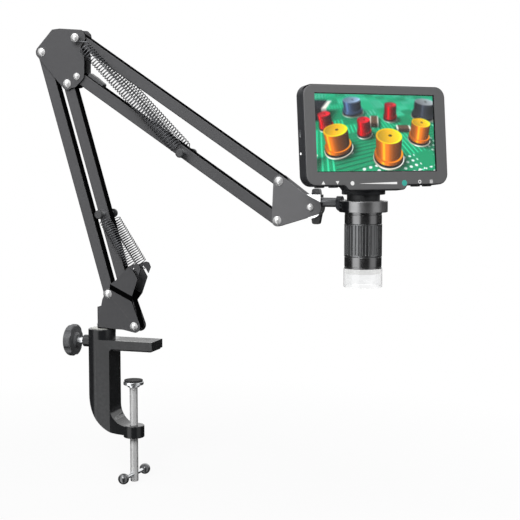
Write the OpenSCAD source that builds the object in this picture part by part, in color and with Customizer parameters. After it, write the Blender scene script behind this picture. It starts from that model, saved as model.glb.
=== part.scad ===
// Digital microscope with its own screen, on a spring-balanced boom arm with a table clamp.
//
// The arm moves in the XZ plane. X = 0, Y = 0 is the axis of the clamp's screw, and Z = 0 is the
// underside of the clamp's top pad, which is the top of the table. +X points along the arm
// towards the microscope, -Y is the side of the near plates, and +Z is up.

/* [Table clamp] */
// Distance from the clamp's screw back to the upright post
post_back = 42; // [40:0.5:46]
// Diameter of the upright post
post_d = 34; // [32:0.5:36]
// Height of the post above the table
post_top = 24.7; // [24:0.1:26]
// Reach of the top bar beyond the clamp's screw
bar_reach = 32; // [28:0.5:36]
// Height of the top bar above the table
bar_top = 12.4; // [11:0.1:14]
// Thickness of the rubber pad under the top bar
top_pad_t = 1.8; // [1:0.1:2.5]
// Thickness of the table that the clamp holds
table_t = 38; // [20:1:45]
// Diameter of the clamp's screw
screw_d = 10; // [9:0.5:11]
// Depth of the screw's lower end below the table's top
screw_low = 166; // [160:1:175]
// Diameter of the lower boss that the screw runs in
boss_d = 26; // [24:0.5:30]
// Length of the tommy bar between its two balls
tommy_len = 53; // [48:1:60]
// Diameter of the tommy bar's balls
tommy_ball_d = 13.6; // [12:0.1:15]
// Diameter of the lock knob
lock_knob_d = 40; // [36:1:44]

/* [Arm] */
// Distance between the pivots of each arm tube
arm_len = 309; // [290:1:330]
// Lean of the lower arm back from upright
lower_lean = 16.2; // [14:0.1:20]
// Droop of the upper arm below level
upper_droop = 33.8; // [30:0.1:38]
// Height of an arm tube's section
tube_h = 14.5; // [14:0.1:15]
// Depth of an arm tube's section, along the pivots
tube_d = 12.5; // [12:0.1:13]
// Wall of an arm tube
tube_wall = 1.2; // [1:0.1:1.6]
// Thickness of the sheet that the plates are cut from
sheet_t = 2; // [1.6:0.1:2.2]
// Diameter of the pivot bolts
bolt_d = 6; // [5.5:0.1:6.5]
// Diameter of the domed caps on the pivot bolts
cap_d = 10.6; // [10:0.1:11.5]
// Outer diameter of the balancing springs
spring_d = 13.8; // [13:0.1:14.5]

/* [Microscope] */
// Diameter of the barrel
barrel_d = 43; // [42.5:0.1:43.5]
// Length of the clear shroud below the barrel
shroud_len = 21.5; // [18:0.5:26]
// Length of the knurled focus ring
focus_len = 37.9; // [34:0.1:40]
// Turn of the screen about the barrel, from facing along the arm's side
head_turn = 43.5; // [30:0.5:60]

/* [Screen housing] */
// Width of the screen housing
screen_w = 185.5; // [180:1:190]
// Height of the screen housing
screen_h = 112.6; // [112:0.1:118]
// Thickness of the screen housing
screen_t = 18; // [17:0.5:20]
// Lean of the screen back from upright
screen_lean = 5.5; // [3:0.5:8]
// Width of the picture
picture_w = 154.1; // [150:0.1:156]
// Height of the picture
picture_h = 85.9; // [84:0.1:88]

/* [Hidden] */
$fn = 64;

// Running clearance on the radius of a pin in its bore
run_gap = 0.05;
// Gap between parts that move past each other
side_gap = 0.2;
eps = 0.01;

// Clamp
post_x = -post_back;
spine_in = post_x + 17;
jaw_top = -95;
boss_low = -110;
throat_low = -table_t;
disc_pad_t = 2;
disc_t = 4;
lock_z = 8;
knob_low = post_x - 51;
shaft_d = 12;
bush_d = 16;
bush_low = -14;
thrust_t = 0.7;

// Pivots of the two parallelograms, as [x, z]
rear_foot = [post_x + 13, 69.1];
front_foot = rear_foot + [34.5, -39];
lower_dir = [-sin(lower_lean), cos(lower_lean)];
rear_head = rear_foot + arm_len * lower_dir;
front_head = front_foot + arm_len * lower_dir;
top_root = rear_head + [49.65, 15.7];
low_root = top_root + [-2, -46];
upper_dir = [cos(upper_droop), -sin(upper_droop)];
top_tip = top_root + arm_len * upper_dir;
low_tip = low_root + arm_len * upper_dir;
tilt_pivot = top_tip + [38.1, -30];

// Places across the arm, along Y
washer_t = 1;
tube_y = tube_d / 2;
plate_in = tube_y + washer_t;
plate_out = plate_in + sheet_t;
spring_y = 14.7;
ear_in = spring_y - sheet_t / 2;
spring_nut_y = 18.5;
hook_cap_y = 17.2;
tip_cap_d = 8.4;

// Bracket on the post
web_low = post_top + thrust_t;
foot_r = 6.4;
fold_start = rear_foot + foot_r * [cos(70), sin(70)];
fold_end = rear_foot + [31.5, -8];
joggle_rise = 8;
ear_seat = rear_foot + [37.7, 32.5];
ear_mouth = rear_foot + [43.7, 22.1];
slot_w = 3.6;

// Balancing springs
lower_spring_pin = front_foot + 143 * lower_dir;
upper_spring_pin = low_root + 168 * upper_dir;
spring_wire = 1.6;
spring_bolt_d = 5;

// Head mount
rod_z = tilt_pivot[1] + 5.8;
rod_d = 11;
eye_d = 25.5;
block_face = tilt_pivot[0] + 11.4;
barrel_x = tilt_pivot[0] + 60.7;
ring_low = tilt_pivot[1] - 4.8;
ring_high = ring_low + 13.2;
ring_d = 56;
lug = [barrel_x - 24.3, ring_low + 7.2];

// Microscope
knurl_high = ring_low - 13.2;
knurl_low = knurl_high - focus_len;
nose_low = knurl_low - 13.7;
shroud_low = nose_low - shroud_len;
core_d = 37;
neck_top = ring_high + 7;
knurl_count = 36;

// Screen housing, in its own frame: x across, y into the housing, z up from the lower edge
screen_x = 3;
screen_y = 30.6;
screen_z = ring_high + 18.3;
corner_r = 12.5;
bezel_t = 5;
face_t = 2;
shell_wall = 2.2;
window_x = -0.5;
window_z = 16.2 + picture_h / 2;
window_w = picture_w + 2;
window_h = picture_h + 2;
chin_x = -3;
chin_w = 81.5;
chin_drop = 5.5;
chin_slope = 4;
pod_d = 50;
pod_top = neck_top + 67;
button_size = [12, 6];
button_y = 10;
button_rise = 1.5;
screw_posts = [[-84, 10], [84, 10], [-84, 102], [84, 102]];
usb_z = screen_h - 54;

// ---------- shared shapes ----------

// Points of an arc about c, from angle a0 to a1
function arc(c, r, a0, a1, n = 10) =
    [for (i = [0:n]) c + r * [cos(a0 + (a1 - a0) * i / n), sin(a0 + (a1 - a0) * i / n)]];

// Angle of the line from p to q in the XZ plane
function heading(p, q) = atan2(q[1] - p[1], q[0] - p[0]);

// Extrudes an outline drawn in the XZ plane from y0 to y1
module in_xz(y0, y1) {
    translate([0, y1, 0]) rotate([90, 0, 0]) linear_extrude(y1 - y0) children();
}

// The same outline on the near side and on the far side
module both_sides(y0, y1) {
    in_xz(y0, y1) children();
    in_xz(-y1, -y0) children();
}

// Round bar along Y at p
module y_bar(p, y0, y1, d) {
    translate([p[0], y1, p[1]]) rotate([90, 0, 0]) cylinder(d = d, h = y1 - y0);
}

// Round bar along X
module x_bar(x0, x1, z, d) {
    translate([x0, 0, z]) rotate([0, 90, 0]) cylinder(d = d, h = x1 - x0);
}

// Domed cap that stands on the plate at y, on both sides of the arm
module dome_caps(p, y, d) {
    h = 0.33 * d;
    r = (d * d / 4 + h * h) / (2 * h);
    for (side = [-1, 1])
        translate([p[0], side * y, p[1]]) rotate([-90 * side, 0, 0])
            intersection() {
                translate([0, 0, h - r]) sphere(r = r);
                cylinder(d = d, h = h);
            }
}

// Nylon washers between a tube and the plates
module washers(p) {
    for (side = [-1, 1])
        difference() {
            y_bar(p, min(side * tube_y, side * plate_in), max(side * tube_y, side * plate_in), 13);
            y_bar(p, -20, 20, bolt_d + 2 * run_gap);
        }
}

// Arm tube from p to q, open at both ends, with a spacer sleeve at each pivot
module arm_tube(p, q) {
    len = norm(q - p);
    hole = bolt_d + 2 * run_gap;
    translate([p[0], 0, p[1]]) rotate([0, -heading(p, q), 0])
        difference() {
            union() {
                difference() {
                    in_xz(-tube_y, tube_y) {
                        translate([0, -tube_h / 2]) square([len, tube_h]);
                        circle(d = tube_h);
                        translate([len, 0]) circle(d = tube_h);
                    }
                    translate([-tube_h, tube_wall - tube_y, tube_wall - tube_h / 2])
                        cube([len + 2 * tube_h, tube_d - 2 * tube_wall, tube_h - 2 * tube_wall]);
                }
                for (x = [0, len]) y_bar([x, 0], -tube_y + eps, tube_y - eps, bolt_d + 3);
            }
            for (x = [0, len]) y_bar([x, 0], -20, 20, hole);
        }
}

// Pair of balancing springs from p to q, as sleeves of the coil's size
module spring_pair(p, q, lead, tail) {
    len = norm(q - p);
    for (side = [-1, 1])
        translate([p[0], side * spring_y, p[1]]) rotate([0, 90 - heading(p, q), 0])
            translate([0, 0, lead])
                difference() {
                    cylinder(d = spring_d, h = len - lead - tail);
                    translate([0, 0, -1]) cylinder(d = spring_d - 2 * spring_wire, h = len);
                }
}

// Bolt across a tube that the springs' lower ends hook on
module spring_bolt_at(p) {
    y_bar(p, -spring_nut_y - 3, spring_nut_y + 3, spring_bolt_d);
}

// Round cap nuts on both ends of a spring bolt
module spring_nuts_at(p) {
    for (side = [-1, 1])
        translate([p[0], side * spring_nut_y, p[1]]) rotate([-90 * side, 0, 0])
            difference() {
                cylinder(d = 11, h = 5);
                translate([0, 0, -1]) cylinder(d = spring_bolt_d + 2 * run_gap, h = 4.1);
            }
}

// Puts its children in the screen housing's frame
module at_screen() {
    translate([barrel_x, 0, screen_z]) rotate([0, 0, head_turn])
        translate([screen_x, -screen_y, 0]) rotate([-screen_lean, 0, 0]) children();
}

// Housing's front outline, grown by g, with the lowered chin
module housing_outline(g = 0) {
    r = corner_r + g;
    half = screen_w / 2 - corner_r;
    polygon(concat(
        arc([-half, corner_r], r, 180, 270),
        [[chin_x - chin_w / 2 - g / 2, -g],
         [chin_x - chin_w / 2 + chin_slope, -chin_drop - g],
         [chin_x + chin_w / 2 - chin_slope, -chin_drop - g],
         [chin_x + chin_w / 2 + g / 2, -g]],
        arc([half, corner_r], r, 270, 360),
        arc([half, screen_h - corner_r], r, 0, 90),
        arc([-half, screen_h - corner_r], r, 90, 180)));
}

// Slab of the housing from depth y0 to y1
module housing_slab(y0, y1, g = 0) {
    in_xz(y0, y1) housing_outline(g);
}

// Round-ended outline of a button, seen from below
module button_outline(g) {
    r = button_size[1] / 2 + g;
    run = (button_size[0] - button_size[1]) / 2;
    translate([-run, 0]) circle(r = r);
    translate([run, 0]) circle(r = r);
    translate([-run, -r]) square([2 * run, 2 * r]);
}

// Button with its inner flange
module button(x, z) {
    at_screen() translate([x, button_y, z]) {
        translate([0, 0, -button_rise]) linear_extrude(button_rise + shell_wall + 0.2 + eps)
            button_outline(0);
        translate([0, 0, shell_wall + 0.2]) linear_extrude(1.2) button_outline(0.8);
    }
}

// Slot for a button in the housing's wall
module button_slot(x, z) {
    translate([x, button_y, z - 2]) linear_extrude(shell_wall + 4) button_outline(side_gap);
}

// Where the buttons stand: x, and the height of the edge there
function button_place(i) = [[-71.8, 0], [-54, 0], [-31, -chin_drop], [53.6, 0], [69.3, 0]][i];

// ---------- table clamp ----------

module clamp_frame() {
    color("#26272a") difference() {
        union() {
            intersection() {
                in_xz(-post_d / 2, post_d / 2) clamp_side();
                translate([0, 0, boss_low]) linear_extrude(bar_top - boss_low) clamp_plan();
            }
            in_xz(-post_d / 2, post_d / 2) clamp_bar();
            translate([post_x, 0, bar_top - 1]) cylinder(d = post_d, h = post_top - bar_top + 1);
            translate([0, 0, boss_low]) cylinder(d = boss_d, h = jaw_top - boss_low);
            x_bar(post_x - post_d / 2 - 7.5, post_x, lock_z, 15);
        }
        translate([post_x, 0, bush_low]) cylinder(d = bush_d + 2 * run_gap, h = 60);
        translate([0, 0, boss_low - 1]) cylinder(d = screw_d + 2 * run_gap, h = 30);
        x_bar(post_x - post_d, post_x, lock_z, 8 + 2 * run_gap);
    }
}

// The frame's C shape, seen from the near side
module clamp_side() {
    outer = [for (a = [180:9:264]) [-13 + 46 * cos(a), -40 + 65 * sin(a)]];
    inner = arc([-1, -72], 24, 180, 264, 8);
    polygon(concat(
        [[post_x - post_d / 2, bar_top]], outer, [[0, -107.5], [0, jaw_top - 1]],
        [for (i = [len(inner) - 1:-1:0]) inner[i]],
        [[spine_in, bar_top]]));
}

// The bar that lies on the table, with a small chamfer under its root
module clamp_bar() {
    polygon([[post_x, bar_top], [post_x, top_pad_t - 3], [spine_in, top_pad_t - 3],
        [spine_in + 3, top_pad_t], [bar_reach - 1, top_pad_t], [bar_reach, top_pad_t + 1],
        [bar_reach, bar_top - 1], [bar_reach - 1, bar_top]]);
}

// The spine and jaw seen from above: round back, flat sides, and a taper to the boss
module clamp_plan() {
    half = post_d / 2;
    translate([post_x, 0]) circle(r = half);
    polygon([[post_x, -half], [spine_in, -half], [0, -10], [0, 10], [spine_in, half], [post_x, half]]);
}

module clamp_top_pad() {
    color("#1c1c1d") translate([spine_in + 5, -15.5, 0]) cube([bar_reach - spine_in - 7, 31, top_pad_t]);
}

module post_bushing() {
    color("#dcdcd6") translate([post_x, 0, 0]) difference() {
        union() {
            translate([0, 0, bush_low]) cylinder(d = bush_d, h = post_top - bush_low);
            translate([0, 0, post_top]) cylinder(d = 27, h = thrust_t);
        }
        translate([0, 0, bush_low - 1]) cylinder(d = shaft_d + 2 * run_gap, h = 60);
        translate([0, 0, lock_z]) rotate([0, -90, 0]) cylinder(d = 8.4, h = 20);
    }
}

module pressure_disc() {
    color("#c9cbce") translate([0, 0, throat_low - disc_pad_t - disc_t]) difference() {
        union() {
            cylinder(d = 25, h = disc_t);
            translate([0, 0, -3]) cylinder(d = 15, h = 3 + eps);
        }
        translate([0, 0, -4]) cylinder(d = 8 + 2 * run_gap, h = 6);
    }
}

module disc_pad() {
    color("#1c1c1d") translate([0, 0, throat_low - disc_pad_t]) cylinder(d = 23, h = disc_pad_t);
}

module clamp_screw() {
    top = throat_low - disc_pad_t - disc_t - 3;
    color("#d4d6d8") difference() {
        union() {
            translate([0, 0, -screw_low]) cylinder(d = screw_d, h = screw_low + top - side_gap);
            translate([0, 0, top - 1]) cylinder(d = 8, h = 5.8);
        }
        translate([0, 0, 9 - screw_low]) rotate([0, 0, 84]) rotate([0, 90, 0])
            cylinder(d = 5 + 2 * run_gap, h = 40, center = true);
    }
}

module tommy_bar() {
    color("#d4d6d8") translate([0, 0, 9 - screw_low]) rotate([0, 0, 84]) rotate([0, 90, 0])
        cylinder(d = 5, h = tommy_len - 4, center = true);
}

module tommy_balls() {
    color("#151516") translate([0, 0, 9 - screw_low]) rotate([0, 0, 84])
        for (side = [-1, 1]) difference() {
            translate([side * tommy_len / 2, 0, 0]) sphere(d = tommy_ball_d);
            rotate([0, 90, 0]) cylinder(d = 5, h = tommy_len - 4, center = true);
        }
}

module lock_knob() {
    low = knob_low;
    color("#2a2b2d") difference() {
        intersection() {
            translate([low, 0, lock_z]) rotate([0, 90, 0]) linear_extrude(18) difference() {
                circle(d = lock_knob_d);
                for (a = [30:60:330]) rotate(a) translate([lock_knob_d / 2 + 5, 0]) circle(d = 16);
            }
            translate([low + 31, 0, lock_z]) sphere(r = 31, $fn = 96);
        }
        x_bar(low + 8, low + 30, lock_z, 8);
        difference() {
            x_bar(low + 14, low + 30, lock_z, 27);
            x_bar(low + 13, low + 31, lock_z, 14);
        }
    }
}

module lock_screw() {
    color("#c9cbce") x_bar(knob_low + 8, post_x - shaft_d / 2 - side_gap, lock_z, 8);
}

// ---------- post bracket ----------

module swivel_shaft() {
    color("#c9cbce") translate([post_x, 0, 0]) {
        translate([0, 0, bush_low + 1]) cylinder(d = shaft_d, h = web_low + sheet_t - bush_low - 1);
        translate([0, 0, web_low + sheet_t]) cylinder(d = 13.4, h = 3.5, $fn = 6);
    }
}

module base_bracket() {
    web_right = post_x + 36;
    color("#454648") difference() {
        union() {
            both_sides(plate_in, plate_out) base_plate();
            translate([post_x - 2.3, -plate_out, web_low]) cube([sheet_t, 2 * plate_out, 27]);
            translate([post_x - 2.3, -plate_out, web_low])
                cube([web_right - post_x + 2.3, 2 * plate_out, sheet_t]);
            for (side = [-1, 1]) joggle(side);
            both_sides(ear_in, ear_in + sheet_t) base_ear();
        }
        for (p = [rear_foot, front_foot]) y_bar(p, -20, 20, bolt_d + run_gap);
        translate([post_x, 0, 0]) cylinder(d = shaft_d + run_gap, h = 60);
    }
}

// Side plate below the fold
module base_plate() {
    left = post_x - 2.3;
    polygon(concat(
        [[left, web_low], [left, web_low + 27], [left + 5.6, web_low + 28], [left + 7.4, 62]],
        arc(rear_foot, foot_r, 205, 70),
        [fold_end],
        arc(front_foot, 8, 22, -80),
        [[post_x + 33, web_low]]));
}

// Sloping strip that carries the sheet outwards from the plate to the ear
module joggle(side) {
    step = ear_in - plate_in;
    bend = 0.3;
    translate([fold_start[0], 0, fold_start[1]]) rotate([0, -heading(fold_start, fold_end), 0])
        rotate([90, 0, 90]) linear_extrude(norm(fold_end - fold_start)) polygon([
            [side * plate_in, -1],
            [side * plate_out, -1],
            [side * plate_out, -bend],
            [side * (plate_out + step), joggle_rise + bend],
            [side * (plate_out + step), joggle_rise + 1],
            [side * (plate_in + step), joggle_rise + 1],
            [side * (plate_in + step), joggle_rise + bend],
            [side * plate_in, -bend]]);
}

// Ear above the joggle, with the open slot for the spring's end
module base_ear() {
    fold = heading(fold_start, fold_end);
    up = [-sin(fold), cos(fold)];
    left = fold_start + joggle_rise * up;
    right = fold_end + joggle_rise * up;
    e = rear_foot;
    slot = ear_mouth - ear_seat;
    half = slot_w / 2;
    difference() {
        polygon([left, left + 2 * up, e + [13.3, 17.6], e + [27.6, 31.9], e + [31.3, 36.1],
            e + [40.8, 39.3], e + [44.6, 38.2], e + [47, 32.5], e + [43.4, 23.7],
            e + [42.4, 19.9], right + 2 * up, right]);
        translate(ear_seat) rotate(atan2(slot[1], slot[0]))
            polygon(concat(arc([0, 0], half, 90, 270),
                [[norm(slot) + 6, -half], [norm(slot) + 6, half]]));
    }
}

module base_pivot_bolts() {
    color("#b9bbbd") for (p = [rear_foot, front_foot]) y_bar(p, -plate_out, plate_out, bolt_d);
}

module base_caps() {
    color("#f1f1f0") for (p = [rear_foot, front_foot]) dome_caps(p, plate_out, cap_d);
}

module base_washers() {
    color("#e6e6e2") for (p = [rear_foot, front_foot]) washers(p);
}

// ---------- lower arm ----------

module lower_rear_tube() {
    color("#3c3d3f") arm_tube(rear_foot, rear_head);
}

module lower_front_tube() {
    color("#3c3d3f") difference() {
        arm_tube(front_foot, front_head);
        y_bar(lower_spring_pin, -20, 20, spring_bolt_d + 2 * run_gap);
    }
}

module lower_spring_bolt() {
    color("#b9bbbd") spring_bolt_at(lower_spring_pin);
}

module lower_spring_nuts() {
    color("#2c2d2f") spring_nuts_at(lower_spring_pin);
}

module lower_springs() {
    color("#55575a") spring_pair(ear_seat, lower_spring_pin, 8, 9);
}

// ---------- elbow ----------

module elbow_plates() {
    a = rear_head;
    color("#454648") both_sides(plate_in, plate_out) difference() {
        polygon(concat(
            arc(a, 7.8, 230, 135),
            [a + [14.85, 27.1], a + [24.85, 28.1], a + [54.45, 25.7], a + [58.85, 21.3],
             a + [60.05, 14], a + [53.25, 5.2], a + [58.15, -3.9], a + [57.85, -25.7],
             a + [56.75, -32.9], a + [45.75, -43.6]],
            arc(front_head, 7.6, -45, -130)));
        for (p = [rear_head, front_head, top_root, low_root]) translate(p) circle(d = bolt_d + run_gap);
    }
}

module elbow_pivot_bolts() {
    color("#b9bbbd") {
        for (p = [rear_head, front_head, low_root]) y_bar(p, -plate_out, plate_out, bolt_d);
        y_bar(top_root, -hook_cap_y, hook_cap_y, bolt_d);
    }
}

module elbow_caps() {
    color("#f1f1f0") {
        for (p = [rear_head, front_head]) dome_caps(p, plate_out, cap_d);
        dome_caps(low_root, plate_out, tip_cap_d);
        dome_caps(top_root, hook_cap_y, cap_d);
    }
}

module elbow_washers() {
    color("#e6e6e2") for (p = [rear_head, front_head, top_root, low_root]) washers(p);
}

// ---------- upper arm ----------

module upper_top_tube() {
    color("#47484a") arm_tube(top_root, top_tip);
}

module upper_bottom_tube() {
    color("#47484a") difference() {
        arm_tube(low_root, low_tip);
        y_bar(upper_spring_pin, -20, 20, spring_bolt_d + 2 * run_gap);
    }
}

module upper_spring_bolt() {
    color("#b9bbbd") spring_bolt_at(upper_spring_pin);
}

module upper_spring_nuts() {
    color("#2c2d2f") spring_nuts_at(upper_spring_pin);
}

module upper_springs() {
    color("#55575a") spring_pair(top_root, upper_spring_pin, 15, 9);
}

module elbow_bumper() {
    color("#1c1c1d") translate([low_root[0], 0, low_root[1]]) rotate([0, upper_droop, 0])
        translate([17, 0, tube_h / 2]) in_xz(-5, 5)
            polygon([[0, 0], [21, 0], [18, 3.2], [5, 4.6], [0, 3]]);
}

// ---------- end bracket and head mount ----------

module end_bracket() {
    g = top_tip;
    color("#4c4d4f") both_sides(plate_in, plate_out) difference() {
        polygon(concat(
            arc(g, 7, 185, 45),
            [g + [31.6, -14.8]],
            arc(tilt_pivot, 13, 28, -36),
            arc(low_tip, 7, -74, -190)));
        for (p = [top_tip, low_tip, tilt_pivot]) translate(p) circle(d = bolt_d + run_gap);
    }
}

module end_pivot_bolts() {
    color("#b9bbbd") for (p = [top_tip, low_tip]) y_bar(p, -plate_out, plate_out, bolt_d);
}

module end_caps() {
    color("#f1f1f0") for (p = [top_tip, low_tip]) dome_caps(p, plate_out, cap_d);
}

module end_washers() {
    color("#e6e6e2") for (p = [top_tip, low_tip]) washers(p);
}

// Pinch bolt at the tip: domed head on the near side, thread for the wing knob on the far side
module tilt_bolt() {
    h = 0.4 * tip_cap_d;
    color("#d4d6d8") {
        y_bar(tilt_pivot, -plate_out, 25, bolt_d);
        translate([tilt_pivot[0], -plate_out, tilt_pivot[1]]) rotate([90, 0, 0])
            intersection() {
                translate([0, 0, h - tip_cap_d / 2 - 0.2]) sphere(d = tip_cap_d + 0.4);
                cylinder(d = tip_cap_d, h = h);
            }
    }
}

module swivel_block() {
    half = plate_in - 0.1;
    top = tilt_pivot[1] + 14.6;
    color("#dfe0e1") difference() {
        union() {
            y_bar(tilt_pivot, -half, half, eye_d);
            translate([tilt_pivot[0] - 8, -half, tilt_pivot[1]])
                cube([block_face - tilt_pivot[0] + 8, 2 * half, top - tilt_pivot[1]]);
        }
        y_bar(tilt_pivot, -20, 20, bolt_d + 2 * run_gap);
        x_bar(tilt_pivot[0] + 4.4, block_face + 10, rod_z, rod_d + 2 * run_gap);
    }
}

// Wing knob on the far end of the pinch bolt
module wing_knob() {
    x = tilt_pivot[0];
    z = tilt_pivot[1];
    hub = plate_out + 0.3;
    color("#2a2b2d") difference() {
        union() {
            y_bar(tilt_pivot, hub, hub + 14, 15);
            in_xz(hub + 5, hub + 14) polygon([[x - 7, z], [x - 5.5, z + 13], [x - 4.5, z + 20],
                [x - 2, z + 21], [x + 3.5, z + 21], [x + 4.5, z + 19], [x + 7, z + 6],
                [x + 7, z - 6], [x + 4.5, z - 19], [x + 3.5, z - 21], [x - 2, z - 21],
                [x - 4.5, z - 20], [x - 5.5, z - 13]]);
        }
        y_bar(tilt_pivot, 0, 25 + 0.2, bolt_d + 2 * run_gap);
    }
}

module mount_rod() {
    color("#333436") x_bar(tilt_pivot[0] + 4.8, lug[0] - 4, rod_z, rod_d);
}

// Split ring that grips the barrel, with the lug that the rod and the clamp screw go into
module ring_clamp() {
    color("#5a5b5c") difference() {
        union() {
            translate([barrel_x, 0, ring_low]) cylinder(d = ring_d, h = ring_high - ring_low);
            y_bar(lug, -9, 9, 13.4);
            translate([lug[0], -9, lug[1] - 6.7]) cube([12, 18, ring_high - lug[1] + 6.7]);
            x_bar(lug[0] - 7, lug[0], rod_z, rod_d + 4);
        }
        translate([barrel_x, 0, ring_low - 1]) cylinder(d = barrel_d + 2 * run_gap, h = 20);
        x_bar(lug[0] - 20, lug[0] - 4, rod_z, rod_d + run_gap);
        y_bar(lug, -20, 20, 4 + run_gap);
        y_bar(lug, -20, -6, 7.2);
        translate([lug[0] - 2, 2, 100]) cube([30, 1.2, 100]);
    }
}

// Socket-head screw that closes the ring
module ring_screw() {
    color("#9a9c9e") difference() {
        union() {
            y_bar(lug, -6, 9, 4);
            y_bar(lug, -9.5, -6, 7);
        }
        translate([lug[0], -7.5, lug[1]]) rotate([90, 0, 0]) cylinder(d = 3.5, h = 5, $fn = 6);
    }
}

// ---------- microscope ----------

// Upright ring about the barrel's axis
module tube_ring(z0, z1, d_out, d_in) {
    translate([barrel_x, 0, z0]) difference() {
        cylinder(d = d_out, h = z1 - z0);
        translate([0, 0, -1]) cylinder(d = d_in, h = z1 - z0 + 2);
    }
}

module barrel() {
    color("#4a4b4d") {
        tube_ring(knurl_high, ring_high + eps, barrel_d, 31);
        tube_ring(nose_low + 4, knurl_high + eps, core_d, 31);
        tube_ring(ring_high, neck_top + 4, 38, 31);
    }
}

module focus_ring() {
    color("#38393b") translate([barrel_x, 0, knurl_low + side_gap])
        linear_extrude(knurl_high - knurl_low - 2 * side_gap) difference() {
            circle(d = barrel_d + 0.6);
            circle(d = core_d + 2 * run_gap);
            for (i = [0:knurl_count - 1]) rotate(i * 360 / knurl_count)
                translate([barrel_d / 2 + 0.3, 0]) circle(d = 1.5, $fn = 16);
        }
}

// Ring below the focus ring, with the spigot that the shroud pushes onto
module nose_ring() {
    color("#3a3b3d") difference() {
        union() {
            tube_ring(nose_low, knurl_low, barrel_d, core_d + run_gap);
            tube_ring(nose_low - 6, nose_low + 4, 41.3, 36);
        }
        translate([barrel_x, 0, nose_low + 4]) cylinder(d = core_d + run_gap, h = 20);
    }
}

module clear_shroud() {
    color("#eef3f5", 0.4) tube_ring(shroud_low, nose_low, 44.5, 41.4);
}

module led_ring_board() {
    color("#e9ece6") {
        tube_ring(nose_low - 2, nose_low - 0.4, 35.6, 16.4);
        for (i = [0:7]) rotate_about_barrel(i * 45)
            translate([13.2, 0, nose_low - 3.2]) cylinder(d = 5, h = 1.2 + eps);
    }
}

// Turns its children about the barrel's axis
module rotate_about_barrel(a) {
    translate([barrel_x, 0, 0]) rotate(a) children();
}

module objective_lens() {
    color("#9fb4c6") translate([barrel_x, 0, 0]) {
        translate([0, 0, nose_low - 4]) cylinder(d = 16, h = 14);
        translate([0, 0, nose_low + 4.2]) cylinder(d = 30.8, h = 5);
    }
}

module sensor_board() {
    color("#2f6b46") translate([barrel_x, 0, 0]) {
        translate([-14, -14, neck_top + 5]) cube([28, 28, 1.6]);
        translate([-5, -4, neck_top + 3.6]) cube([10, 8, 1.4 + eps]);
    }
}

// ---------- screen housing ----------

module front_bezel() {
    color("#5f6063") at_screen() difference() {
        union() {
            difference() {
                housing_slab(0, bezel_t);
                housing_slab(face_t, bezel_t + 1, -shell_wall);
            }
            for (p = screw_posts) y_bar(p, face_t - eps, bezel_t, 7);
        }
        translate([window_x - window_w / 2, -1, window_z - window_h / 2])
            cube([window_w, face_t + 2, window_h]);
        for (p = screw_posts) y_bar(p, face_t, bezel_t + 1, 2.6);
    }
}

module back_shell() {
    color("#303134") difference() {
        union() {
            difference() {
                union() {
                    at_screen() housing_slab(bezel_t, screen_t);
                    screen_pod(pod_d, neck_top, pod_top);
                }
                at_screen() housing_slab(bezel_t - 1, screen_t - shell_wall, -shell_wall);
                screen_pod(pod_d - 2 * shell_wall, neck_top + 3, pod_top - shell_wall);
            }
            at_screen() for (p = screw_posts) y_bar(p, bezel_t, screen_t - 1, 7);
        }
        translate([barrel_x, 0, neck_top - 1]) cylinder(d = 38 + run_gap, h = 5);
        at_screen() {
            for (p = screw_posts) {
                y_bar(p, 0, 30, 2.8);
                y_bar(p, screen_t - 2, 30, 5.4);
            }
            for (i = [0:4]) button_slot(button_place(i)[0], button_place(i)[1]);
            translate([-screen_w / 2 - 1, 0, 0]) usb_hole(0.1);
        }
    }
}

// Upright housing over the barrel's upper end, kept behind the bezel
module screen_pod(d, z0, z1) {
    intersection() {
        translate([barrel_x, 0, z0]) cylinder(d = d, h = z1 - z0);
        at_screen() translate([-60, bezel_t, -60]) cube([120, 90, 200]);
    }
}

// Oval hole of the charging socket in the left side wall
module usb_hole(g) {
    translate([0, 10.5, usb_z]) rotate([0, 90, 0]) linear_extrude(8) {
        translate([-3, 0]) circle(d = 3.2 + 2 * g);
        translate([3, 0]) circle(d = 3.2 + 2 * g);
        translate([-3, -1.6 - g]) square([6, 3.2 + 2 * g]);
    }
}

module cover_glass() {
    color("#20262b", 0.5) at_screen()
        translate([window_x - window_w / 2 + 0.1, 0.3, window_z - window_h / 2 + 0.1])
            cube([window_w - 0.2, 1.2, window_h - 0.2]);
}

module lcd_panel() {
    color("#2c8f63") at_screen()
        translate([window_x - 79, face_t + eps, window_z - 46]) cube([158, 3.4, 92]);
}

module main_board() {
    color("#2f6b46") at_screen() difference() {
        translate([-62, 6.4, 14]) cube([124, 1.6, 78]);
        for (x = [-56, 56]) y_bar([x, 20], 0, 20, 3.2);
    }
}

module battery() {
    color("#b9bcc2") at_screen() translate([20, 8.6, 36]) cube([52, 5.6, 50]);
}

module usb_socket() {
    color("#b9bbbd") at_screen() difference() {
        translate([-screen_w / 2 + 0.6, 0, 0]) usb_hole(0);
        translate([-screen_w / 2 - 1, 0, 0]) usb_hole(-0.5);
    }
}

module housing_screws() {
    color("#26272a") at_screen() for (p = screw_posts) {
        y_bar(p, 3, screen_t - 2, 2.5);
        y_bar(p, screen_t - 2, screen_t - 0.4, 5);
    }
}

module button_up() { color("#26272a") button(button_place(0)[0], button_place(0)[1]); }
module button_down() { color("#26272a") button(button_place(1)[0], button_place(1)[1]); }
module button_record() { color("#26272a") button(button_place(2)[0], button_place(2)[1]); }
module button_ok() { color("#26272a") button(button_place(3)[0], button_place(3)[1]); }
module button_menu() { color("#26272a") button(button_place(4)[0], button_place(4)[1]); }

// ---------- assembly ----------

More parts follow.
